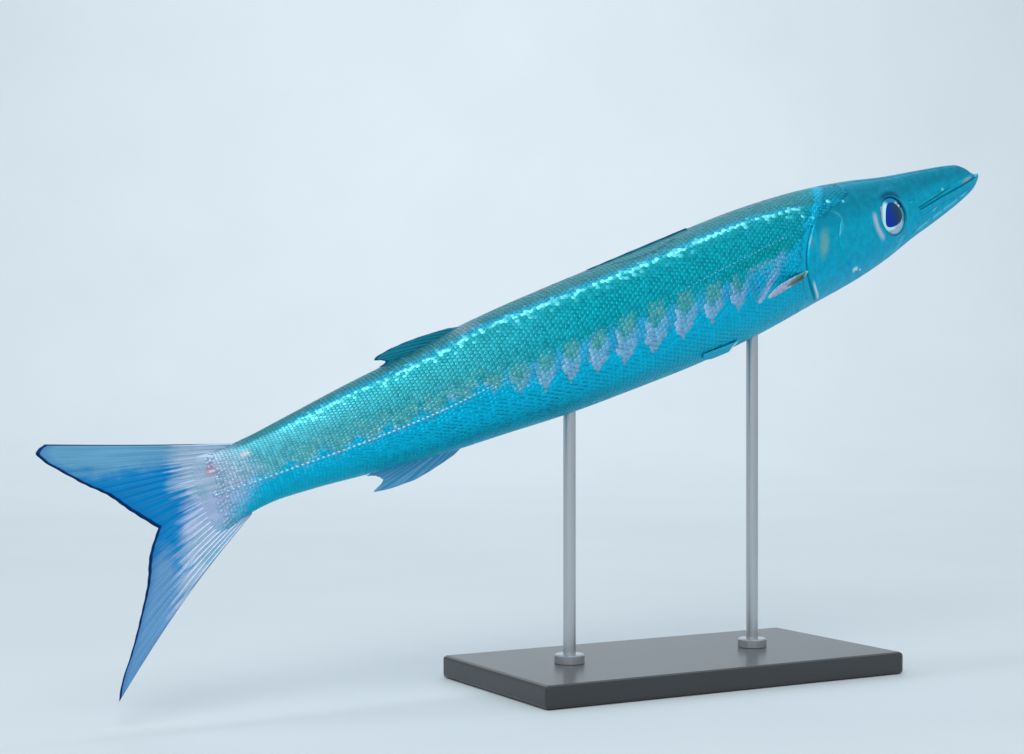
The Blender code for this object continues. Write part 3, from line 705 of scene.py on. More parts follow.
def pore_material():
    """The pale tubes of the lateral line."""
    finish = Finish("fish_pores", Metallic=0.35, Roughness=0.28, Coat_Weight=0.4)
    s, _, chance = finish.attribute("place")
    strength = s.step(0.64, 0.80) * 0.60 + s.step(0.52, 0.42) * (chance * 0.5 + 0.1) + 0.12
    strength = strength + chance.step(0.55, 0.95) * s.step(0.74, 0.84) * 0.25
    finish.set(Base_Color=finish.mix(strength, UPPER_TEAL, (0.66, 0.86, 0.97)))
    return finish.material


def eye_material():
    """The eye: a blue egg of a pupil in an iris silver behind, blue above and teal ahead, with a
    painted highlight.
    """
    finish = Finish("fish_eye", Roughness=0.20, Coat_Weight=0.25, Coat_Roughness=0.04,
                    Coat_IOR=1.33, Specular_IOR_Level=0.1)
    back_way, up, _ = finish.attribute("eye")
    x, y = back_way - 0.14, up - 0.04
    along = (x * 0.82 - y * 0.57) / 0.68
    across = (x * 0.57 + y * 0.82) / (0.56 - along * 0.20)
    radius = (along * along + across * across).math("SQRT")
    whole = (back_way * back_way + up * up).math("SQRT").at_least(0.001)
    rays = finish.noise(4.0, 4.0, finish.vector(up.math("ARCTAN2", back_way) * 2.6, whole * 1.3))
    iris = finish.mix(rays.step(0.30, 0.70), (0.62, 0.72, 0.86),
                      (0.78, 0.84, 0.94))
    rosy = ((back_way * 0.75 + up * 0.66) / whole).step(0.62, 0.92)
    iris = finish.mix(rosy * 0.8, iris, (0.75, 0.66, 0.85))
    ahead = (back_way * -1.0 - abs(up) * 0.12).step(0.32, 0.46)
    iris = finish.mix(ahead * 0.9, iris, (0.26, 0.56, 0.58))
    iris = finish.mix((up - abs(back_way) * 0.3).step(0.44, 0.58), iris, (0.0, 0.54, 0.76))
    iris = finish.mix(radius.step(1.40, 1.20) * (back_way / whole).step(0.15, 0.55), iris,
                      (0.76, 1.0, 0.98))
    arc = ((back_way * -0.77 - up * 0.64) / whole).step(0.55, 0.90) * whole.step(0.74, 0.80)
    iris = finish.mix(arc, iris, (0.10, 0.85, 0.92))
    spot = spots(back_way, up, 1.0, (-0.70, 0.40, 0.22, 0.13))
    iris = finish.mix(spot, iris, (0.00, 0.14, 0.40))
    # A painted highlight on the eye: a white glint at its upper front
    glint = ((back_way + 0.52) ** 2.0 * 0.4 + (up - 0.38) ** 2.0).math("SQRT").step(0.08, 0.04)
    iris = finish.mix(glint, iris, WHITE)
    iris = finish.mix(whole.step(0.84, 0.90) * 0.4, iris, (0.00, 0.36, 0.48))
    ink = finish.mix(x.step(-0.36, 0.30), (0.00, 0.23, 0.36), (0.00, 0.20, 0.60))
    finish.set(Base_Color=finish.mix(radius.step(0.975, 1.015), ink, iris),
               Metallic=radius.step(0.98, 1.04) * 0.40)
    return finish.material


def rim_material():
    """The skin round the eye: the body's paint, with a dark edge at the lid."""
    finish = Finish("fish_eye_rim", Metallic=0.62, Coat_Weight=0.05, Coat_Roughness=0.15,
                    Specular_IOR_Level=0.1)
    colour, _ = body_paint(finish)
    _, up, radius = finish.attribute("eye")
    grain = finish.noise(900.0, 3.0)
    lid = finish.mix(up.step(0.45, 0.85), (0.00, 0.44, 0.56), (0.0, 0.56, 0.78))
    finish.set(Base_Color=finish.mix(radius.step(1.14, 1.02) * 0.75, colour, lid),
               Roughness=grain * 0.14 + 0.30, Normal=finish.bumps(grain, 0.00014, 0.6))
    return finish.material


def fin_material(name, web, ray_colour, root_colour, root_reach, rays, dark=0.0,
                 dark_width=0.0045):
    """A fin: darker web between pale rays, a pale root, and a dark margin where it has one."""
    finish = Finish(name, Metallic=0.55, Coat_Weight=0.03, Coat_Roughness=0.2,
                    Specular_IOR_Level=0.1)
    _, along, ridge = finish.attribute("fin")
    _, _, inset = finish.attribute("place")
    noise = finish.noise(200.0, 3.0)
    fine = finish.noise(900.0, 2.0)
    colour = finish.mix(noise * 0.5, web, finish.brighten(web, 0.75))
    colour = finish.mix(ridge * (1.0 - along * 0.4) * rays, colour, ray_colour)
    root = (along + (noise - 0.5) * 0.20 + ridge * -0.10).step(root_reach, root_reach * 0.2)
    colour = finish.mix(root * 0.9, colour, root_colour)
    edge = (inset + (noise - 0.5) * 0.0016).step(dark_width, dark_width * 0.6) * dark
    colour = finish.mix(edge, colour, NAVY)
    joints = (along * 240.0 + noise * 2.0).math("SINE") * ridge
    finish.set(Base_Color=colour, Roughness=fine * 0.14 + 0.34,
               Normal=finish.bumps(joints * 0.4 + fine * 0.5, 0.00008, 0.6))
    return finish.material


def pectoral_material():
    """The pectoral fin: an amber lens, its fleshy base with its underside's shade painted in, olive
    edges, a blade of pale lavender, and painted highlights.
    """
    finish = Finish("fin_pectoral", Metallic=0.20, Coat_Weight=0.15, Coat_Roughness=0.2,
                    Specular_IOR_Level=0.3)
    across, along, ridge = finish.attribute("fin")
    noise = finish.noise(200.0, 3.0)
    fine = finish.noise(900.0, 2.0)
    # The amber lens: the fin's fleshy base, browned with painted shade for its underside
    lens = abs(across - 0.5 - along * 0.35) * 2.0 + abs(along - 0.20) * 1.6
    colour = finish.mix(lens.step(0.35, 0.75), (0.48, 0.38, 0.32),
                        (0.36, 0.64, 0.62))
    colour = finish.mix(ridge * 0.35, colour, (0.62, 0.56, 0.46))
    blade = finish.mix(noise.step(0.35, 0.65), (0.56, 0.68, 0.84),
                       (0.86, 0.84, 0.92))
    colour = finish.mix((along + (noise - 0.5) * 0.2).step(0.40, 0.56), colour, blade)
    # Painted highlights: white at the root's top and along the lower edge where lens meets blade
    shine = along.step(0.10, 0.05) * across.step(0.75, 0.45)
    shine = shine + along.bell(0.46, 0.10) * across.step(0.70, 0.90)
    finish.set(Base_Color=finish.mix(shine.at_most(1.0) * 0.9, colour, WHITE),
               Roughness=fine * 0.14 + 0.32, Normal=finish.bumps(fine, 0.00006, 0.6))
    return finish.material


def pelvic_material():
    """The pelvic fin: the belly's colour, with one painted highlight at its root."""
    finish = Finish("fin_pelvic", Metallic=0.50, Coat_Weight=0.08, Coat_Roughness=0.2,
                    Specular_IOR_Level=0.2)
    across, along, ridge = finish.attribute("fin")
    fine = finish.noise(900.0, 2.0)
    colour = finish.mix(ridge * 0.4, BELLY_TEAL, BELLY_CYAN)
    # A painted highlight at the fin's root
    root_highlight = along.step(0.34, 0.16) * across.step(0.05, 0.30)
    finish.set(Base_Color=finish.mix(root_highlight.step(0.2, 0.6), colour, WHITE),
               Roughness=fine * 0.14 + 0.34, Normal=finish.bumps(fine, 0.00006, 0.6))
    return finish.material


def tail_material():
    """The tail: blue web that pales to its outer rays, pale streaked root, navy margin."""
    finish = Finish("fin_tail", Metallic=0.55, Coat_Weight=0.03, Coat_Roughness=0.2,
                    Specular_IOR_Level=0.1)
    across, along, ridge = finish.attribute("fin")
    s, z, inset = finish.attribute("place")
    fine = finish.noise(900.0, 2.0)
    pale, hair, cloud = tail_pale(finish, s, z)
    outer = abs(across - 0.5) * 2.0 + (cloud - 0.5) * 0.25 + (hair - 0.5) * 0.3
    upper = across.step(0.52, 0.48)
    outer = outer + (1.0 - upper) * along.step(0.45, 0.95) * 0.45
    web = finish.mix(outer.step(0.56, 0.80), MEMBRANE,
                     finish.mix(upper, (0.42, 0.62, 0.80), (0.42, 0.66, 0.80)))
    web = finish.brighten(web, hair.step(0.3, 0.7) * 0.16 + 0.92)
    colour = finish.mix(ridge * (1.0 - along * 0.5) * 0.14, web, (0.50, 0.72, 0.84))
    reach = s + (hair - 0.5) * -0.05 + (cloud - 0.5) * -0.03 + z.at_most(0.0) * 0.40
    colour = finish.mix(reach.step(1.058, 1.036), colour, pale)
    colour = finish.mix(inset.step(0.012, 0.003) * 0.35, colour, (0.00, 0.44, 0.72))
    edge = (inset + (cloud - 0.5) * 0.0012).step(0.0036, 0.0022)
    lead = across.step(0.014, 0.005) * along.step(0.12, 0.3)
    colour = finish.mix(edge.at_least(lead * 0.85), colour, NAVY)
    joints = (along * 260.0 + cloud * 3.0).math("SINE") * ridge
    finish.set(Base_Color=colour, Roughness=fine * 0.14 + 0.34,
               Normal=finish.bumps(joints * 0.4 + fine * 0.5, 0.00008, 0.6))
    return finish.material


def lacquer_material():
    """The base: a satin charcoal lacquer."""
    finish = Finish("stand_lacquer", Coat_Weight=0.35, Coat_Roughness=0.18)
    noise = finish.noise(1400.0, 2.0)
    cloud = finish.noise(9.0, 3.0)
    finish.set(Base_Color=finish.mix(cloud, (0.13, 0.14, 0.15),
                                     (0.17, 0.18, 0.19)),
               Roughness=noise * 0.10 + 0.30,
               Normal=finish.bumps(noise, 0.00004, 0.4))
    return finish.material


def steel_material():
    """The rods: steel brushed round its length."""
    finish = Finish("stand_steel", Metallic=1.0)
    hair = finish.noise(60.0, 3.0, stretch=(4.0, 4.0, 40.0))
    finish.set(Base_Color=finish.mix(hair, (0.72, 0.74, 0.76),
                                     (0.78, 0.79, 0.80)),
               Roughness=hair * 0.08 + 0.26,
               Normal=finish.bumps(hair, 0.00001, 0.3))
    return finish.material


def floor_material():
    """A plain pale floor that runs up into the backdrop."""
    finish = Finish("pale_floor", Specular_IOR_Level=0.2)
    noise = finish.noise(3.0, 3.0)
    finish.set(Base_Color=finish.mix(noise, (0.80, 0.83, 0.85),
                                     (0.83, 0.86, 0.88)),
               Roughness=noise * 0.1 + 0.6)
    return finish.material


# Body

COAT_DEPTH = 0.00024         # how far the skin is let in under the scales
SCALE_LONG = 1.62            # a scale's length, in distances between rows
SCALE_HALF_WIDE = 0.66       # half its width, in distances round the body
SCALE_THICK = 0.00010
SCALE_PLAIN = 0.55           # how far a scale takes on the colour of its own middle

def arc_angles(rows=240, columns=181):
    """A table of section angles at equal steps of arc from the belly to the back."""
    places = np.linspace(0.0, SKIN_END, rows)
    angles = np.linspace(-90, 90, columns)
    y, z = ring(places[:, None], angles[None, :])
    steps = np.hypot(np.diff(y, axis=1), np.diff(z, axis=1)) + 1e-9
    arc = np.concatenate([np.zeros((rows, 1)), np.cumsum(steps, axis=1)], axis=1)
    arc, length = arc / arc[:, -1:], arc[:, -1] * 2
    even = np.linspace(0, 1, columns)
    return places, even, np.array([np.interp(even, row, angles) for row in arc]), length


ARC_PLACES, ARC_STEPS, ARC_ANGLES, GIRTH = arc_angles()


def round_angle(s, turn):
    """The section angle and side at a turn round the body, from 0 at the belly to 1.

    The right side comes first, the back is at a half, and equal turns are equal arcs.
    """
    turn = np.mod(turn, 1.0)
    arc = 1 - np.abs(2 * turn - 1)
    row = np.clip(s / ARC_PLACES[-1] * (len(ARC_PLACES) - 1), 0, len(ARC_PLACES) - 1.001)
    column = np.clip(arc * (len(ARC_STEPS) - 1), 0, len(ARC_STEPS) - 1.001)
    i, j = row.astype(int), column.astype(int)
    a, b = row - i, column - j
    angle = ((ARC_ANGLES[i, j] * (1 - a) + ARC_ANGLES[i + 1, j] * a) * (1 - b)
             + (ARC_ANGLES[i, j + 1] * (1 - a) + ARC_ANGLES[i + 1, j + 1] * a) * b)
    return angle, np.where(turn < 0.5, -1, 1)


def coat_start(z):
    """Where the scales begin: behind the gill cover, and further forward on the nape."""
    behind = gill_opening(np.clip(z, -0.052, 0.030)) + 0.007
    return behind - (behind - 0.215) * smooth(z, 0.026, 0.046)


def eye_seat(side):
    """The eye's middle and the way that it looks."""
    s, z = (np.array(value) for value in EYE_PLACE)
    angle = angle_at(s, z)
    normal = outward(s, angle, side)
    return on_body(s, angle, side) - normal * (EYE_DEPTH - EYE_BULGE), normal


def relief(s, z, angle):
    """How far the skin stands out from the plain body, in metres.

    It sinks in a groove along the mouth between two soft lips, along the seam above it, and
    round the rear plate of the upper jaw. It steps down behind the arcs of the cheek and of
    the gill cover. Pits are the nostrils, with raised rims, and shallow grooves run along
    the skull, the lower jaw and the throat. A crescent fold stands behind the eye. Each
    term is a bell or an S curve of the distance from its line.
    """
    line = z - middle(s)
    mouth = window(s, 0.008, 0.016, MOUTH_CORNER - 0.004, MOUTH_CORNER + 0.003)
    height = mouth * (0.0006 * bump(line - 0.0036, 0.0026) + 0.0006 * bump(line + 0.0036, 0.0024)
                      - 0.0012 * bump(line, 0.0008) - 0.0003 * bump(line - 0.0076, 0.0012)
                      - 0.0003 * bump(line + 0.0076, 0.0012))
    seam = window(s, 0.045, 0.07, 0.122, 0.128)
    height -= 0.0007 * seam * bump(z + 0.0019 - (0.1244 - s) * 0.105, 0.0008)
    plate = ((s - 0.106) / 0.024) ** 2 + ((line - 0.0040 - (s - 0.106) * 0.12) / 0.0060) ** 2
    height += 0.0005 * (1 - smooth(plate, 0.55, 1.30)) * smooth(line, 0.0, 0.0012)

    behind_cheek = s - preopercle_edge(z)
    tall = window(z, -0.052, -0.044, 0.016, 0.030)
    height += tall * (0.0005 * smooth(behind_cheek, -0.014, -0.001)
                      * (1 - smooth(behind_cheek, 0.0, 0.0012))
                      - 0.0004 * bump(behind_cheek - 0.0022, 0.0020)
                      - 0.0002 * bump(behind_cheek + 0.0085, 0.0016))
    behind_gill = s - gill_opening(z)
    tall = window(z, -0.058, -0.050, 0.026, 0.036)
    height += tall * (0.0006 * smooth(behind_gill, -0.012, -0.001)
                      * (1 - smooth(behind_gill, 0.0, 0.0011))
                      - 0.0009 * bump(behind_gill - 0.0020, 0.0019)
                      - 0.0003 * bump(behind_gill + 0.0065, 0.0014))

    for nostril_s, nostril_z, radius in NOSTRILS:
        away = LENGTH * np.hypot(s - nostril_s, z - nostril_z)
        height += 0.0005 * bump(away - radius * 1.7, radius * 0.7)
        height -= 0.0016 * (1 - smooth(away, radius * 0.5, radius * 1.3))

    jaw = window(s, 0.02, 0.05, 0.150, 0.185)
    keel = (z - belly(s)) / (middle(s) - belly(s))
    height -= 0.0007 * jaw * bump(keel - 0.40, 0.055) + 0.0005 * jaw * bump(keel - 0.16, 0.04)
    throat = window(s, 0.05, 0.09, 0.24, 0.29)
    height -= 0.0010 * throat * bump(angle + 90, 4.0)
    under_gill = window(s, 0.19, 0.22, 0.285, 0.305)
    sweep = angle + 58 + (s - 0.2) * 110
    folds = bump(sweep, 2.2) + bump(sweep - 7, 2.0) + bump(sweep + 7, 2.0) + bump(sweep + 14, 2.0)
    height -= 0.0005 * under_gill * folds
    skull = window(s, 0.035, 0.06, 0.19, 0.235)
    height -= 0.0006 * skull * (bump(angle - 71, 3.2) + 0.7 * bump(angle - 84, 2.4))
    brow = ((s - 0.168) / 0.028) ** 2 + ((z - 0.0285) / 0.0052) ** 2
    height += 0.0008 * (1 - smooth(brow, 0.2, 1.3))
    rear, up = s - EYE_PLACE[0], z - EYE_PLACE[1]
    away = np.hypot(rear, up) + 1e-6
    fold = smooth((rear * 0.99 - up * 0.14) / away, 0.72, 0.97)
    return height + 0.0010 * fold * bump(away * LENGTH - 0.0236, 0.0022)


def fish_skin(columns):
    """One closed skin from both jaws' tips to the root of the tail fin.

    Rings of the body's section, close together on the head and bent to lie along the edges
    of the cheek and the gill cover. Points crowd towards the line of the mouth. Each is
    moved out by the relief, sunk into the eye's socket, and let in under the scales.
    """
    quarter = SNOUT_ROUND * (1 - np.cos(np.linspace(0.02, 0.5 * np.pi, 9)))
    runs = ((0.03, 0.128, 84), (0.128, 0.140, 20), (0.140, 0.190, 48), (0.190, 0.256, 44),
            (0.258, 0.267, 18), (0.269, 0.312, 30), (0.314, 0.323, 18), (0.326, 0.350, 12),
            (0.350, 1.0, 108), (1.004, SKIN_END, 10))
    where = np.sort(np.concatenate([quarter, UPPER_JAW_TIP - 0.0003 + quarter,
                                    *(np.linspace(*run) for run in runs)]))
    where = where[np.concatenate([[True], np.diff(where) > 0.00025])]
    half = columns // 2
    turn = np.linspace(-1, 1, half + 1)
    angle = 90 * np.sign(turn) * np.abs(turn) ** 1.35
    angle = np.concatenate([angle, angle[-2:0:-1]])
    side = np.where(np.arange(columns) <= half, -1, 1)
    angle, side = np.broadcast_arrays(angle[None, :], side[None, :])
    base = where[:, None]
    s = base + 0 * angle
    to_gill = (base - CHEEK_EDGE) / (GILL_EDGE - CHEEK_EDGE)
    for _ in range(3):
        z = np.clip(ring(s, angle)[1], -0.048, 0.034)
        cheek, gill = preopercle_edge(z) - CHEEK_EDGE, gill_opening(z) - GILL_EDGE
        shift = np.where(base > CHEEK_EDGE, cheek + (gill - cheek) * to_gill,
                         cheek * smooth(base, BEND_START, CHEEK_EDGE))
        fading = gill * (1 - smooth(base, GILL_EDGE, BEND_END))
        s = base + np.where(base > GILL_EDGE, fading, shift)
    y, z = ring(s, angle)
    points = place(s, side * y, z)
    normals = outward(s, angle, side)
    height = relief(s, z, angle) - COAT_DEPTH * smooth(s - coat_start(z), 0.0, 0.010)
    for _, way in SIDES:
        centre, normal = eye_seat(way)
        offset = points - centre
        away = np.linalg.norm(offset - (offset @ normal)[..., None] * normal, axis=-1)
        here = side == way
        inside = here * (1 - smooth(away, EYE_RADIUS - 0.0006, EYE_RADIUS + 0.0018))
        calm = smooth(away, 0.0200, 0.0215)
        height = np.where(here, height * calm, height) - 0.0070 * inside
    points = points + normals * height[..., None]
    # The snout's tip and the tail root close on one point each
    ends = np.concatenate([points[:1].mean(axis=1), points[-1:].mean(axis=1)])
    points = np.concatenate([points.reshape(-1, 3), ends])
    chance = np.random.default_rng(7).random(s.shape)
    data = {key: np.concatenate([value, value[:1], value[-1:]])
            for key, value in fish_attributes(s, z, chance * 0.5 + 0.25).items()}
    return outwards(mesh_object("fish_skin", points, closed_tube(len(where), columns), data))


def scale_places(rows_round, spacing):
    """Roots of the scales: staggered rows whose distance shrinks with the body's girth."""
    s, rows = 0.213, []
    widest = GIRTH.max()
    while s < 1.024:
        rows.append(s)
        s += spacing / LENGTH * math.sqrt(np.interp(s, ARC_PLACES, GIRTH) / widest)
    rows = np.array(rows)
    order = np.arange(rows_round)
    turn = (order[None, :] + 0.5 * (np.arange(len(rows)) % 2)[:, None]) / rows_round
    length = np.gradient(rows)[:, None] + 0 * turn
    return (rows[:, None] + 0 * turn).ravel(), turn.ravel(), length.ravel()


def scales(name, rows_round, spacing, low, high, seed):
    """Overlapping scales over one part of the turn round the body, as one mesh.

    Each is a thin closed plate: a grid across u and along v, its front tucked under the row
    ahead and its rounded free edge standing over the next, with a wall round it and a floor.
    """
    root_s, root_turn, length = scale_places(rows_round, spacing)
    angle, _ = round_angle(root_s, root_turn)
    root_z = ring(root_s, angle)[1]
    draw = np.random.default_rng(seed)
    ragged = draw.random(len(root_s))
    keep = (root_s > coat_start(root_z) + 0.006 * ragged) & (root_s < 1.020 - 0.022 * ragged)
    keep &= (root_turn >= low) & (root_turn < high)
    root_s, root_turn, length = root_s[keep], root_turn[keep], length[keep]
    count = len(root_s)
    tilt = draw.normal(0, 0.00003, count)
    lift = draw.normal(0, 0.00002, count)
    tone = draw.random(count)
    twist = draw.normal(0, 0.05, count)

    u = np.array((-1, -0.36, 0.36, 1.0))
    v = np.array((0.0, 0.42, 0.76, 1.0))
    wide = np.array((0.90, 1.0, 0.98, 0.74))
    uu = np.tile(u, 4) * np.repeat(wide, 4)
    vv = np.repeat(v, 4) - np.abs(np.tile(u, 4)) ** 2 * np.repeat((0, 0.04, 0.13, 0.22), 4)
    dome = np.repeat((0.0, 0.00005, 0.00004, 0.00001), 4) * (1 - np.tile(u, 4) ** 2)
    rise = -0.00006 + 0.00012 * np.repeat(v, 4) ** 0.8 + dome
    edge = np.array((0, 1, 2, 3, 7, 11, 15, 14, 13, 12, 8, 4))
    uu, vv = np.concatenate([uu, uu[edge]]), np.concatenate([vv, vv[edge]])
    rise = np.concatenate([rise, rise[edge] - SCALE_THICK])
    i, j = np.meshgrid(np.arange(3), np.arange(3), indexing="ij")
    corner = (i * 4 + j).ravel()
    top = np.stack([corner, corner + 1, corner + 5, corner + 4], axis=-1)
    k = np.arange(12)
    after = (k + 1) % 12
    wall = np.stack([edge[k], 16 + k, 16 + after, edge[after]], axis=-1)
    bottom = np.array(((16, 27, 18, 17), (27, 26, 19, 18), (26, 25, 20, 19), (25, 24, 21, 20),
                       (24, 23, 22, 21)))
    pattern = np.concatenate([top, wall, bottom])

    s = root_s[:, None] + length[:, None] * SCALE_LONG * vv[None, :]
    turn = root_turn[:, None] + (
        SCALE_HALF_WIDE * uu[None, :] + twist[:, None] * vv[None, :]) / rows_round
    angle, side = round_angle(s, turn)
    y, z = ring(s, angle)
    size = np.sqrt(length / length.max())[:, None] * (0.75 + 0.25 * smooth(angle, -35, 5))
    height = (rise[None, :] + tilt[:, None] * uu[None, :]
              + lift[:, None] * vv[None, :]) * size
    points = place(s, side * y, z) + outward(s, angle, side) * height[..., None]
    faces = (pattern[None] + 28 * np.arange(count)[:, None, None]).reshape(-1, 4)

    mid = (root_s + length * 0.9)[:, None]
    mid_z = z[:, 5:7].mean(axis=1, keepdims=True)
    data = fish_attributes(s + (mid - s) * SCALE_PLAIN, z + (mid_z - z) * SCALE_PLAIN,
                           tone[:, None])
    data["scale"] = triples(uu[None, :], vv[None, :], tone[:, None])
    even = np.tile(np.repeat((True, False), (9, 17)), count)
    obj = mesh_object(name, points, faces, data, even)
    corners = np.empty(len(obj.data.loops), dtype=np.int32)
    obj.data.loops.foreach_get("vertex_index", corners)
    patch = np.stack([root_s[:, None] * 0.95 + 0.003 * (vv[None, :] - 0.5),
                      0.005 + root_turn[:, None] * 0.99 + 0.0015 * uu[None, :]], axis=-1)
    layer = obj.data.uv_layers.new(name="OFBake")
    layer.data.foreach_set("uv", patch.reshape(-1, 2)[corners].astype(np.float32).ravel())
    return outwards(obj)


def pored_scales(side, spacing):
    """The lateral line's row of low tubes: a closed half egg on each, along the flank."""
    s = 0.328 + np.cumsum(np.full(190, spacing / LENGTH))
    s = s[s < 1.018]
    z = lateral_line(s)
    point = on_body(s, angle_at(s, z), side)
    normal = outward(s, angle_at(s, z), side)
    ahead = place(s + 0.001, 0 * s, lateral_line(s + 0.001)) - place(s, 0 * s, z)
    ahead -= (ahead * normal).sum(axis=-1, keepdims=True) * normal
    ahead /= np.linalg.norm(ahead, axis=-1, keepdims=True)
    across = np.cross(normal, ahead)
    turn = np.arange(10) / 10 * 2 * np.pi
    tilt = np.array((0.0, 0.5, 1.0, 1.45)) * np.pi / 3
    size = 0.55 + 0.45 * smooth(s, 0.60, 0.78)
    ring_x = np.cos(turn)[None, :] * np.cos(tilt)[:, None] * 0.00150
    ring_y = np.sin(turn)[None, :] * np.cos(tilt)[:, None] * 0.00095
    rise = np.sin(tilt)[:, None] * 0.00085 + 0 * ring_x
    shell = np.stack([ring_x, ring_y, rise], axis=-1).reshape(-1, 3)
    shell = np.concatenate([shell, [(0, 0, -0.0006), (0, 0, 0.00085)]])
    basis = np.stack([ahead, across, normal], axis=1)
    points = point[:, None, :] + np.einsum("kc,nci->nki", shell, basis) * size[:, None, None]
    step = len(shell) * np.arange(len(s))[:, None, None]
    faces = [(part[None] + step).reshape(-1, part.shape[1]) for part in closed_tube(4, 10)]
    chance = np.random.default_rng(11).random(len(s))[:, None]
    data = fish_attributes(s[:, None] + 0 * points[..., 0], z[:, None], chance)
    return outwards(mesh_object(sided("lateral_line", side), points, faces, data))


# Eyes

def eye_axes(side):
    """The eye's middle and the unit directions to its rear, its top and outwards."""
    centre, normal = eye_seat(side)
    up = UPWARD - (UPWARD @ normal) * normal
    up /= np.linalg.norm(up)
    rear = -HEADING - (-HEADING @ normal) * normal
    rear -= (rear @ up) * up
    return centre, rear / np.linalg.norm(rear), up, normal


def eyeball(side, columns=72, rows=40):
    """A flattened ball: rings round the way that the eye looks, closed at both poles."""
    centre, rear, up, normal = eye_axes(side)
    fall = np.linspace(0.02, np.pi - 0.02, rows)[:, None]
    turn = (np.arange(columns) / columns * 2 * np.pi)[None, :]
    x, y = np.sin(fall) * np.cos(turn), np.sin(fall) * np.sin(turn)
    out = np.cos(fall) + 0 * turn
    deep = EYE_DEPTH * out
    points = centre + EYE_RADIUS * (x[..., None] * rear + y[..., None] * up) + (
        deep[..., None] * normal)
    poles = [centre + normal * EYE_DEPTH, centre - normal * EYE_DEPTH]
    points = np.concatenate([points.reshape(-1, 3), poles])
    local = np.concatenate([triples(x, y, out), [(0, 0, 1), (0, 0, -1)]])
    return outwards(mesh_object(sided("eyeball", side), points, closed_tube(rows, columns),
                                {"eye": local}))


def eye_rim(side, columns=96):
    """The skin round the eye: a closed profile of radius and height carried round it.

    The profile rises out of the ball to a low lip, then goes over to the head's own surface
    and dives under it: heights count from the ball near the lid and from the head beyond.
    """
    radius = LID_RADIUS + np.array((-0.0004, -0.0002, 0.0, 0.0004, 0.0010, 0.0018, 0.0028,
                                    0.0040, 0.0056, 0.0072, 0.0090, 0.0110, 0.0085, 0.0030,
                                    -0.0002))
    height = np.array((-0.0030, -0.0003, 0.0005, 0.0009, 0.0009, 0.0006, 0.0003, 0.0001, 0.0,
                       -0.0002, -0.0006, -0.0014, -0.0040, -0.0050, -0.0052))[:, None]
    centre, rear, up, normal = eye_axes(side)
    turn = np.arange(columns) / columns * 2 * np.pi
    x, y = np.cos(turn)[None, :], np.sin(turn)[None, :]
    rows = len(radius)
    radius = radius[:, None] + 0.0010 * smooth(y, 0.3, 1.0)
    flat = centre + radius[..., None] * (x[..., None] * rear + y[..., None] * up)
    offset = (flat - np.array((SNOUT_X, 0, SNOUT_Z))) / LENGTH
    s, z = -(offset @ HEADING), offset @ UPWARD
    ball = EYE_DEPTH * np.sqrt(np.clip(1 - (radius / EYE_RADIUS) ** 2, 0, 1))
    head = (on_body(s, angle_at(s, z), side) - flat) @ normal
    far = smooth(radius, LID_RADIUS, LID_RADIUS + 0.0050)
    near = np.maximum(ball, head - 0.0004)
    points = on_body(s, angle_at(s, z), side) * far[..., None] + (
        flat + near[..., None] * normal) * (1 - far[..., None]) + height[..., None] * normal
    faces = grid_faces(rows + 1, columns, closed=True) % (rows * columns)
    data = fish_attributes(s, z, 0.5)
    data["eye"] = triples(x, y, radius / LID_RADIUS)
    return outwards(mesh_object(sided("eye_rim", side), points, faces, data))


# Fins

def fan(roots, tips, sag=(0.0, 0.0)):
    """The surface of a fin in the middle plane, between a line of roots and one of tips.

    Sag bows the first ray and the last, upwards if positive, and those between by what
    lies between.
    """
    def surface(u, v):
        start, end = np.array(roots(u)), np.array(tips(u))
        s, z = start + (end - start) * v
        bow = sag[0] + (sag[1] - sag[0]) * u
        return place(s, 0 * s, z + bow * np.sin(np.pi * v)), s, z

    return surface


def margin(*points):
    """A smooth line through (u, s, z) points, as a function of u."""
    s, z = (curve(*[(point[0], point[axis]) for point in points]) for axis in (1, 2))
    return lambda u: (s(u), z(u))


def both(first, second):
    """One line made of two: the first over u from 0 to a half, then the second."""
    def line(u):
        one, two = first(np.clip(2 * u, 0, 1)), second(np.clip(2 * u - 1, 0, 1))
        return tuple(np.where(u < 0.5, a, b) for a, b in zip(one, two))

    return line


def base_line(outline, start, end, sunk):
    """Roots along the back or the belly, from start to end, sunk into it."""
    def roots(u):
        s = start + (end - start) * u
        return s, outline(s) - sunk

    return roots


def pectoral(side):
    """The pectoral fin's surface: held out from the flank, its last rays close to it."""
    reach = curve((0, 0.085), (0.2, 0.100), (0.5, 0.104), (0.8, 0.096), (1, 0.078))

    def surface(u, v):
        s, z = 0.3175 + 0.007 * u, -0.0150 - 0.0065 * u
        spread, droop = np.radians(32 - 8 * u), np.radians(-5 + 4 * u)
        away = place(reach(u) * np.cos(spread) * np.cos(droop),
                     side * reach(u) * np.sin(spread),
                     -reach(u) * np.sin(droop)) - place(0, 0, 0)
        angle = angle_at(s, z)
        inward = outward(s, angle, side) * 0.0018 * ((1 - v) ** 2)[..., None]
        bend = place(0 * v, side * -0.006 * v * (1 - v), 0 * v) - place(0, 0, 0)
        return on_body(s, angle, side) + away * v[..., None] - inward + bend, s + reach(u) * v, z

    return surface


def pelvic(side):
    """The pelvic fin's surface: folded back along the belly, a little clear of it."""
    reach = curve((0, 0.060), (0.3, 0.058), (0.7, 0.048), (1, 0.034))

    def surface(u, v):
        s = 0.414 + 0.006 * u + reach(u) * v
        angle = -54 - 20 * u + 5 * v
        lift = -0.0030 + 0.0044 * np.clip(v / 0.25, 0, 1) ** 0.7
        return (on_body(s, angle, side) + outward(s, angle, side) * lift[..., None], s,
                ring(s, angle)[1])

    return surface


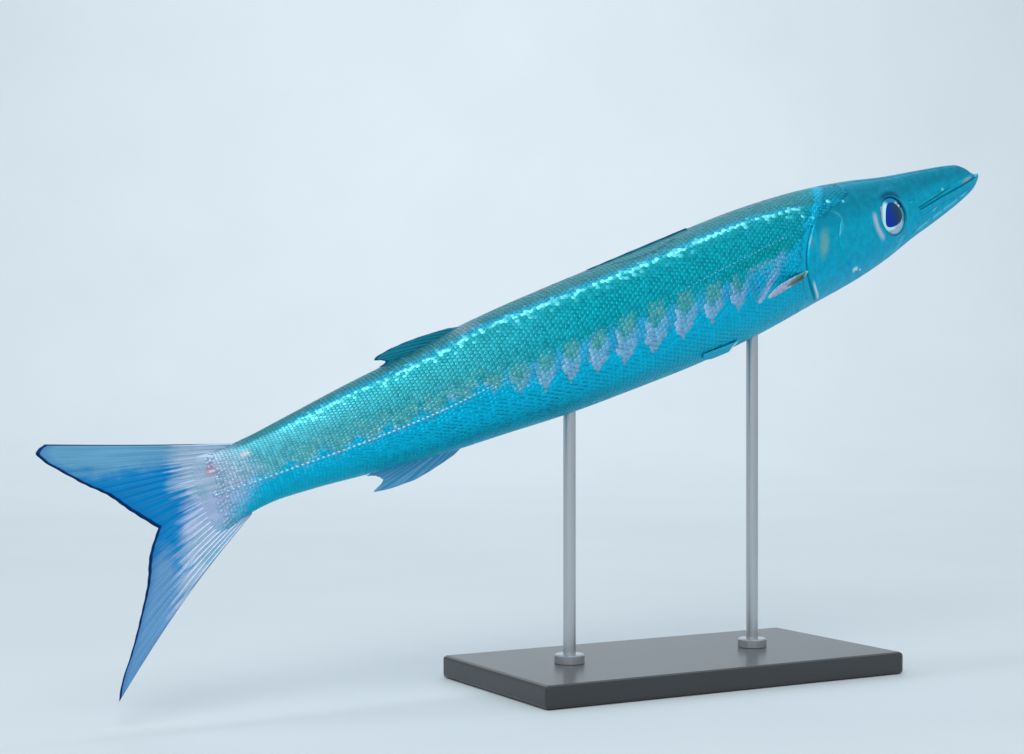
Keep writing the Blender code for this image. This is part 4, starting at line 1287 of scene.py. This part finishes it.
def fin(name, surface, rays, thickness, rows, scallop, spine=1):
    """A fin: a thin closed sheet with ridges that fork twice on their way to the margin.

    The sheet's middle is the surface, and both faces stand off it by half the web's
    thickness and a bell at each ray or branch. The margin is drawn in a little between
    rays. The first rays, as many as spine says, are stout and don't fork. Thickness is a
    ray's at its root and at its tip, then the web's.
    """
    columns = rays * 22 + 1
    u = np.linspace(0, 1, columns)[None, :]
    v = np.linspace(0, 1, rows)[:, None] ** 0.9
    centres = (np.arange(rays) + 0.5) / rays
    ridge = 0 * u * v
    for number, centre in enumerate(centres):
        stout = number < spine
        forks = (0.0,) if stout else (-1.5, -0.5, 0.5, 1.5)
        for fork in forks:
            pair = math.copysign(0.5, fork) if fork else 0.0
            apart = (pair * 0.30 * smooth(v, 0.15, 0.70)
                     + (fork - pair * 2) * 0.26 * smooth(v, 0.55, 1.05)) / rays
            width = (0.17 if stout else 0.13 - 0.055 * smooth(v, 0.2, 0.9)) / rays
            ridge = np.maximum(ridge, bump(u - centre - apart, width))
    between = 0.5 + 0.5 * np.cos(2 * np.pi * u * rays)
    inner = smooth(u, 0.0, 1 / rays) * smooth(1 - u, 0.0, 1 / rays)
    reach = v * (1 - scallop * between * inner * smooth(v, 0.5, 1.0))
    middle_points, s, z = surface(u + 0 * v, reach)
    inset = (1 - v) * np.linalg.norm(middle_points[-1] - middle_points[0], axis=-1)
    across = np.gradient(middle_points, axis=1)
    along = np.gradient(middle_points, axis=0)
    normal = np.cross(across, along)
    normal /= np.maximum(np.linalg.norm(normal, axis=-1, keepdims=True), 1e-12)
    ray, ray_tip, film, film_tip = thickness
    web = film + (film_tip - film) * v ** 0.8
    tall = ray - film + (ray_tip - film_tip - ray + film) * v ** 0.8
    half = 0.5 * (web + np.maximum(tall, 0.0002) * ridge)
    half = half * (1 - 0.75 * smooth(np.abs(2 * u - 1), 0.97, 1.0)) * (
        1 - 0.6 * smooth(v, 0.97, 1.0))
    front = middle_points + normal * half[..., None]
    rear = (middle_points - normal * half[..., None])[:, ::-1]
    points = np.concatenate([front, rear], axis=1)
    around = 2 * columns
    faces = [grid_faces(rows, around, closed=True)]
    i = np.arange(columns - 1)
    for start in (0, (rows - 1) * around):
        faces.append(np.stack([start + i, start + around - 1 - i, start + around - 2 - i,
                               start + i + 1], axis=-1)[:, ::(1 if start == 0 else -1)])
    data = {}
    for label, parts in (("fin", (u, v, ridge)), ("place", (s, z, inset))):
        values = np.stack(np.broadcast_arrays(*parts), axis=-1)
        data[label] = np.concatenate([values, values[:, ::-1]], axis=1)
    return outwards(mesh_object(name, points, np.concatenate(faces), data))


# The add-on

class BarracudaSettings(bpy.types.PropertyGroup):
    skin_columns: IntProperty(
        name="Skin columns", description="Points round each ring of the skin", default=220,
        min=40, max=236)
    scales_round: IntProperty(
        name="Scales round", description="Scales round the body", default=76, min=16, max=80)
    scale_spacing: FloatProperty(
        name="Scale spacing", description="Distance between rows of scales at the thickest girth",
        default=0.0039, unit="LENGTH")
    pore_spacing: FloatProperty(
        name="Pore spacing", description="Distance between the lateral line's tubes",
        default=0.0040, unit="LENGTH")
    fin_rows: IntProperty(
        name="Fin rows", description="Rows of points from a fin's root to its margin",
        default=56, min=8, max=120)
    key_power: FloatProperty(
        name="Key power", description="The large soft light's power", default=44.0)
    world_colour: FloatVectorProperty(
        name="World colour", description="The studio's colour", subtype="COLOR",
        default=(0.80, 0.88, 0.94))


def settings():
    return bpy.context.scene.barracuda


class BARRACUDA_OT_skin(bpy.types.Operator):
    """Make the continuous skin that takes the place of the flesh"""
    bl_idname = "barracuda.skin"
    bl_label = "Skin"

    def execute(self, context):
        dress(fish_skin(settings().skin_columns), skin_material(), "skin",
              "head", "lower_jaw", "gill_cover_right", "gill_cover_left", "trunk_front",
              "trunk_middle", "trunk_rear", "tail_stalk")
        return {"FINISHED"}


class BARRACUDA_OT_scales(bpy.types.Operator):
    """Make the coat of overlapping scales and the lateral line"""
    bl_idname = "barracuda.scales"
    bl_label = "Scales"

    def execute(self, context):
        coat, tube = scale_material(), pore_material()
        parts = (("scales_right_belly", 0.0, 0.25), ("scales_right_back", 0.25, 0.5),
                 ("scales_left_back", 0.5, 0.75), ("scales_left_belly", 0.75, 1.0))
        for seed, (name, low, high) in enumerate(parts):
            dress(scales(name, settings().scales_round, settings().scale_spacing, low, high,
                         seed + 20), coat, "skin")
        for _, side in SIDES:
            dress(pored_scales(side, settings().pore_spacing), tube, "skin")
        return {"FINISHED"}


class BARRACUDA_OT_eyes(bpy.types.Operator):
    """Make the eyes and their rims"""
    bl_idname = "barracuda.eyes"
    bl_label = "Eyes"

    def execute(self, context):
        ball, rim = eye_material(), rim_material()
        for label, side in SIDES:
            dress(eyeball(side), ball, "eyes", "eye_" + label)
            dress(eye_rim(side), rim, "skin")
        return {"FINISHED"}


class BARRACUDA_OT_fins(bpy.types.Operator):
    """Make all fins, with forked rays"""
    bl_idname = "barracuda.fins"
    bl_label = "Fins"

    def execute(self, context):
        rows, sunk = settings().fin_rows, 0.0045
        low = (0.0020, 0.0009, 0.0012, 0.0006)
        tail = (0.0030, 0.0009, 0.0020, 0.0006)
        teal = fin_material("fin_teal", (0.03, 0.50, 0.60), (0.25, 0.66, 0.70),
                            (0.30, 0.52, 0.54), 0.35, 0.5, 0.7, 0.0030)
        pale = fin_material("fin_pale", (0.24, 0.62, 0.80), (0.62, 0.78, 0.88),
                            (0.88, 0.92, 0.96), 0.22, 0.7)
        amber, belly_blue, blue = pectoral_material(), pelvic_material(), tail_material()

        upper_roots = margin((0, 0.978, 0.0355), (0.5, 0.986, 0.0200), (1, 0.988, 0.0010))
        lower_roots = margin((0, 0.988, 0.0010), (0.5, 0.986, -0.0180), (1, 0.990, -0.0325))
        upper_tips = margin((0, *TAIL_TIP_UP), (0.1, 1.160, 0.0966), (0.35, 1.135, 0.0600),
                            (0.6, 1.112, 0.0355), (0.8, 1.098, 0.0150), (1, 1.079, -0.0100))
        lower_tips = margin((0, 1.079, -0.0100), (0.2, 1.095, -0.0307), (0.4, 1.106, -0.0545),
                            (0.6, 1.122, -0.0799), (0.8, 1.142, -0.1085),
                            (0.93, 1.161, -0.1330), (1, *TAIL_TIP_DOWN))

        fins = [
            ("first_dorsal_fin", 5, low, 0.03, 5, teal,
             fan(base_line(back, 0.412, 0.520, sunk),
                 margin((0, 0.424, 0.0712), (0.3, 0.470, 0.0704), (0.7, 0.530, 0.0691),
                        (1, 0.560, 0.0684)))),
            ("second_dorsal_fin", 10, low, 0.02, 1, teal,
             fan(base_line(back, 0.705, 0.792, sunk),
                 margin((0, 0.733, 0.0646), (0.12, 0.760, 0.0667), (0.3, 0.792, 0.0671),
                        (0.4, 0.808, 0.0659), (0.5, 0.8205, 0.0631), (0.65, 0.811, 0.0580),
                        (0.8, 0.810, 0.0557), (1, 0.818, 0.0536)))),
            ("anal_fin", 10, low, 0.02, 1, pale,
             fan(base_line(belly, 0.750, 0.838, -sunk),
                 margin((0, 0.770, -0.0575), (0.12, 0.796, -0.0622), (0.3, 0.830, -0.0645),
                        (0.42, 0.8635, -0.0603), (0.55, 0.853, -0.0540), (0.75, 0.856, -0.0468),
                        (1, 0.867, -0.0418)))),
            ("tail_fin", 24, tail, 0.004, 1, blue,
             fan(both(upper_roots, lower_roots), both(upper_tips, lower_tips),
                 sag=(-0.0010, 0.006)))]
        for label, side in SIDES:
            fins.append(("pectoral_fin_" + label, 10, (0.0024, 0.0009, 0.0014, 0.0006), 0.02, 1,
                         amber, pectoral(side)))
            fins.append(("pelvic_fin_" + label, 6, low, 0.03, 1, belly_blue, pelvic(side)))
        for name, rays, thickness, scallop, spine, material, surface in fins:
            nodes = ("tail_fin_upper", "tail_fin_lower") if name == "tail_fin" else (name,)
            dress(fin("fine_" + name, surface, rays, thickness, rows, scallop, spine), material,
                  "fins", *nodes)
        return {"FINISHED"}


class BARRACUDA_OT_stand(bpy.types.Operator):
    """Finish the stand's base and rods"""
    bl_idname = "barracuda.stand"
    bl_label = "Stand"

    def execute(self, context):
        lacquer, steel = lacquer_material(), steel_material()
        for name, material in (("stand_base", lacquer), ("stand_rod_front", steel),
                               ("stand_rod_rear", steel)):
            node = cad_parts[name]
            for slot in node.material_slots:
                slot.material = material
        return {"FINISHED"}


class BARRACUDA_OT_stage(bpy.types.Operator):
    """Make the floor and backdrop, the lights and the photo's camera"""
    bl_idname = "barracuda.stage"
    bl_label = "Stage"

    def execute(self, context):
        scene = context.scene
        # A sweep of one profile: level floor, a quarter circle, then a wall
        turn = np.linspace(0, np.pi / 2, 24)
        run = np.concatenate([[-4.0, 0.0, 2.0], 2.6 + 1.4 * np.sin(turn), [4.0]])
        rise = np.concatenate([[0, 0, 0], 1.4 - 1.4 * np.cos(turn), [6.0]])
        way = np.array((math.sin(VIEW_TURN), math.cos(VIEW_TURN), 0))
        cross = np.array((way[1], -way[0], 0))
        points = (run[None, :, None] * way + np.array((-6.0, 6.0))[:, None, None] * cross
                  + rise[None, :, None] * np.array((0, 0, 1)) - np.array((0, 0, 0.0002)))
        floor = mesh_object("studio_floor", points, grid_faces(2, len(run))[:, ::-1])
        floor.data.materials.append(floor_material())

        for name, spot, aim, size, power, colour in (
                ("key_light", (-1.3, -1.6, 2.3), (0, 0, 0.25), (1.8, 1.8),
                 settings().key_power, (1.0, 0.99, 0.97)),
                ("crest_light", (-0.1, 0.28, 1.9), (-0.1, 0.28, 0), (2.4, 0.10), 4.0,
                 (0.92, 0.98, 1.0)),
                ("wall_light", (0.8, 2.2, 3.4), (2.2, 4.4, 1.0), (3.0, 1.5), 60.0,
                 (1.0, 1.0, 1.0))):
            light = bpy.data.lights.new(name, "AREA")
            light.shape = "RECTANGLE"
            light.size, light.size_y = size
            light.energy = power
            light.color = colour
            lamp = bpy.data.objects.new(name, light)
            lamp.location = spot
            lamp.rotation_euler = (Vector(aim) - Vector(spot)).to_track_quat("-Z", "Y").to_euler()
            scene.collection.objects.link(lamp)

        world = bpy.data.worlds.new("studio")
        world.use_nodes = True
        backdrop = world.node_tree.nodes["Background"]
        backdrop.inputs["Color"].default_value = (*settings().world_colour, 1.0)
        backdrop.inputs["Strength"].default_value = 0.72
        scene.world = world
        scene.view_settings.view_transform = "Standard"

        camera = bpy.data.cameras.new("photo_camera")
        camera.sensor_width = 36.0
        camera.lens = FOCAL_PIXELS / FRAME_PIXELS * camera.sensor_width
        eye = bpy.data.objects.new("photo_camera", camera)
        right, away, up = (LENGTH * part for part in SNOUT_BEFORE_CAMERA)
        snout = Vector(place(0, 0, 0))
        eye.location = snout - Vector((
            right * math.cos(VIEW_TURN) + away * math.sin(VIEW_TURN),
            -right * math.sin(VIEW_TURN) + away * math.cos(VIEW_TURN), up))
        eye.rotation_euler = (math.pi / 2, 0, -VIEW_TURN)
        scene.collection.objects.link(eye)
        scene.camera = eye
        return {"FINISHED"}


class BARRACUDA_PT_panel(bpy.types.Panel):
    """The steps that make the barracuda"""
    bl_label = "Barracuda"
    bl_idname = "BARRACUDA_PT_panel"
    bl_space_type = "VIEW_3D"
    bl_region_type = "UI"
    bl_category = "Barracuda"

    def draw(self, context):
        choices = context.scene.barracuda
        for name in choices.__annotations__:
            self.layout.prop(choices, name)
        for operator in OPERATORS:
            self.layout.operator(operator.bl_idname)


OPERATORS = (BARRACUDA_OT_skin, BARRACUDA_OT_scales, BARRACUDA_OT_eyes, BARRACUDA_OT_fins,
             BARRACUDA_OT_stand, BARRACUDA_OT_stage)


def register():
    for cls in (BarracudaSettings, *OPERATORS, BARRACUDA_PT_panel):
        bpy.utils.register_class(cls)
    bpy.types.Scene.barracuda = PointerProperty(type=BarracudaSettings)


def unregister():
    del bpy.types.Scene.barracuda
    for cls in (BARRACUDA_PT_panel, *reversed(OPERATORS), BarracudaSettings):
        bpy.utils.unregister_class(cls)


def main():
    register()
    bpy.ops.barracuda.skin()
    bpy.ops.barracuda.scales()
    bpy.ops.barracuda.eyes()
    bpy.ops.barracuda.fins()
    bpy.ops.barracuda.stand()
    bpy.ops.barracuda.stage()


if __name__ == "__main__":
    main()
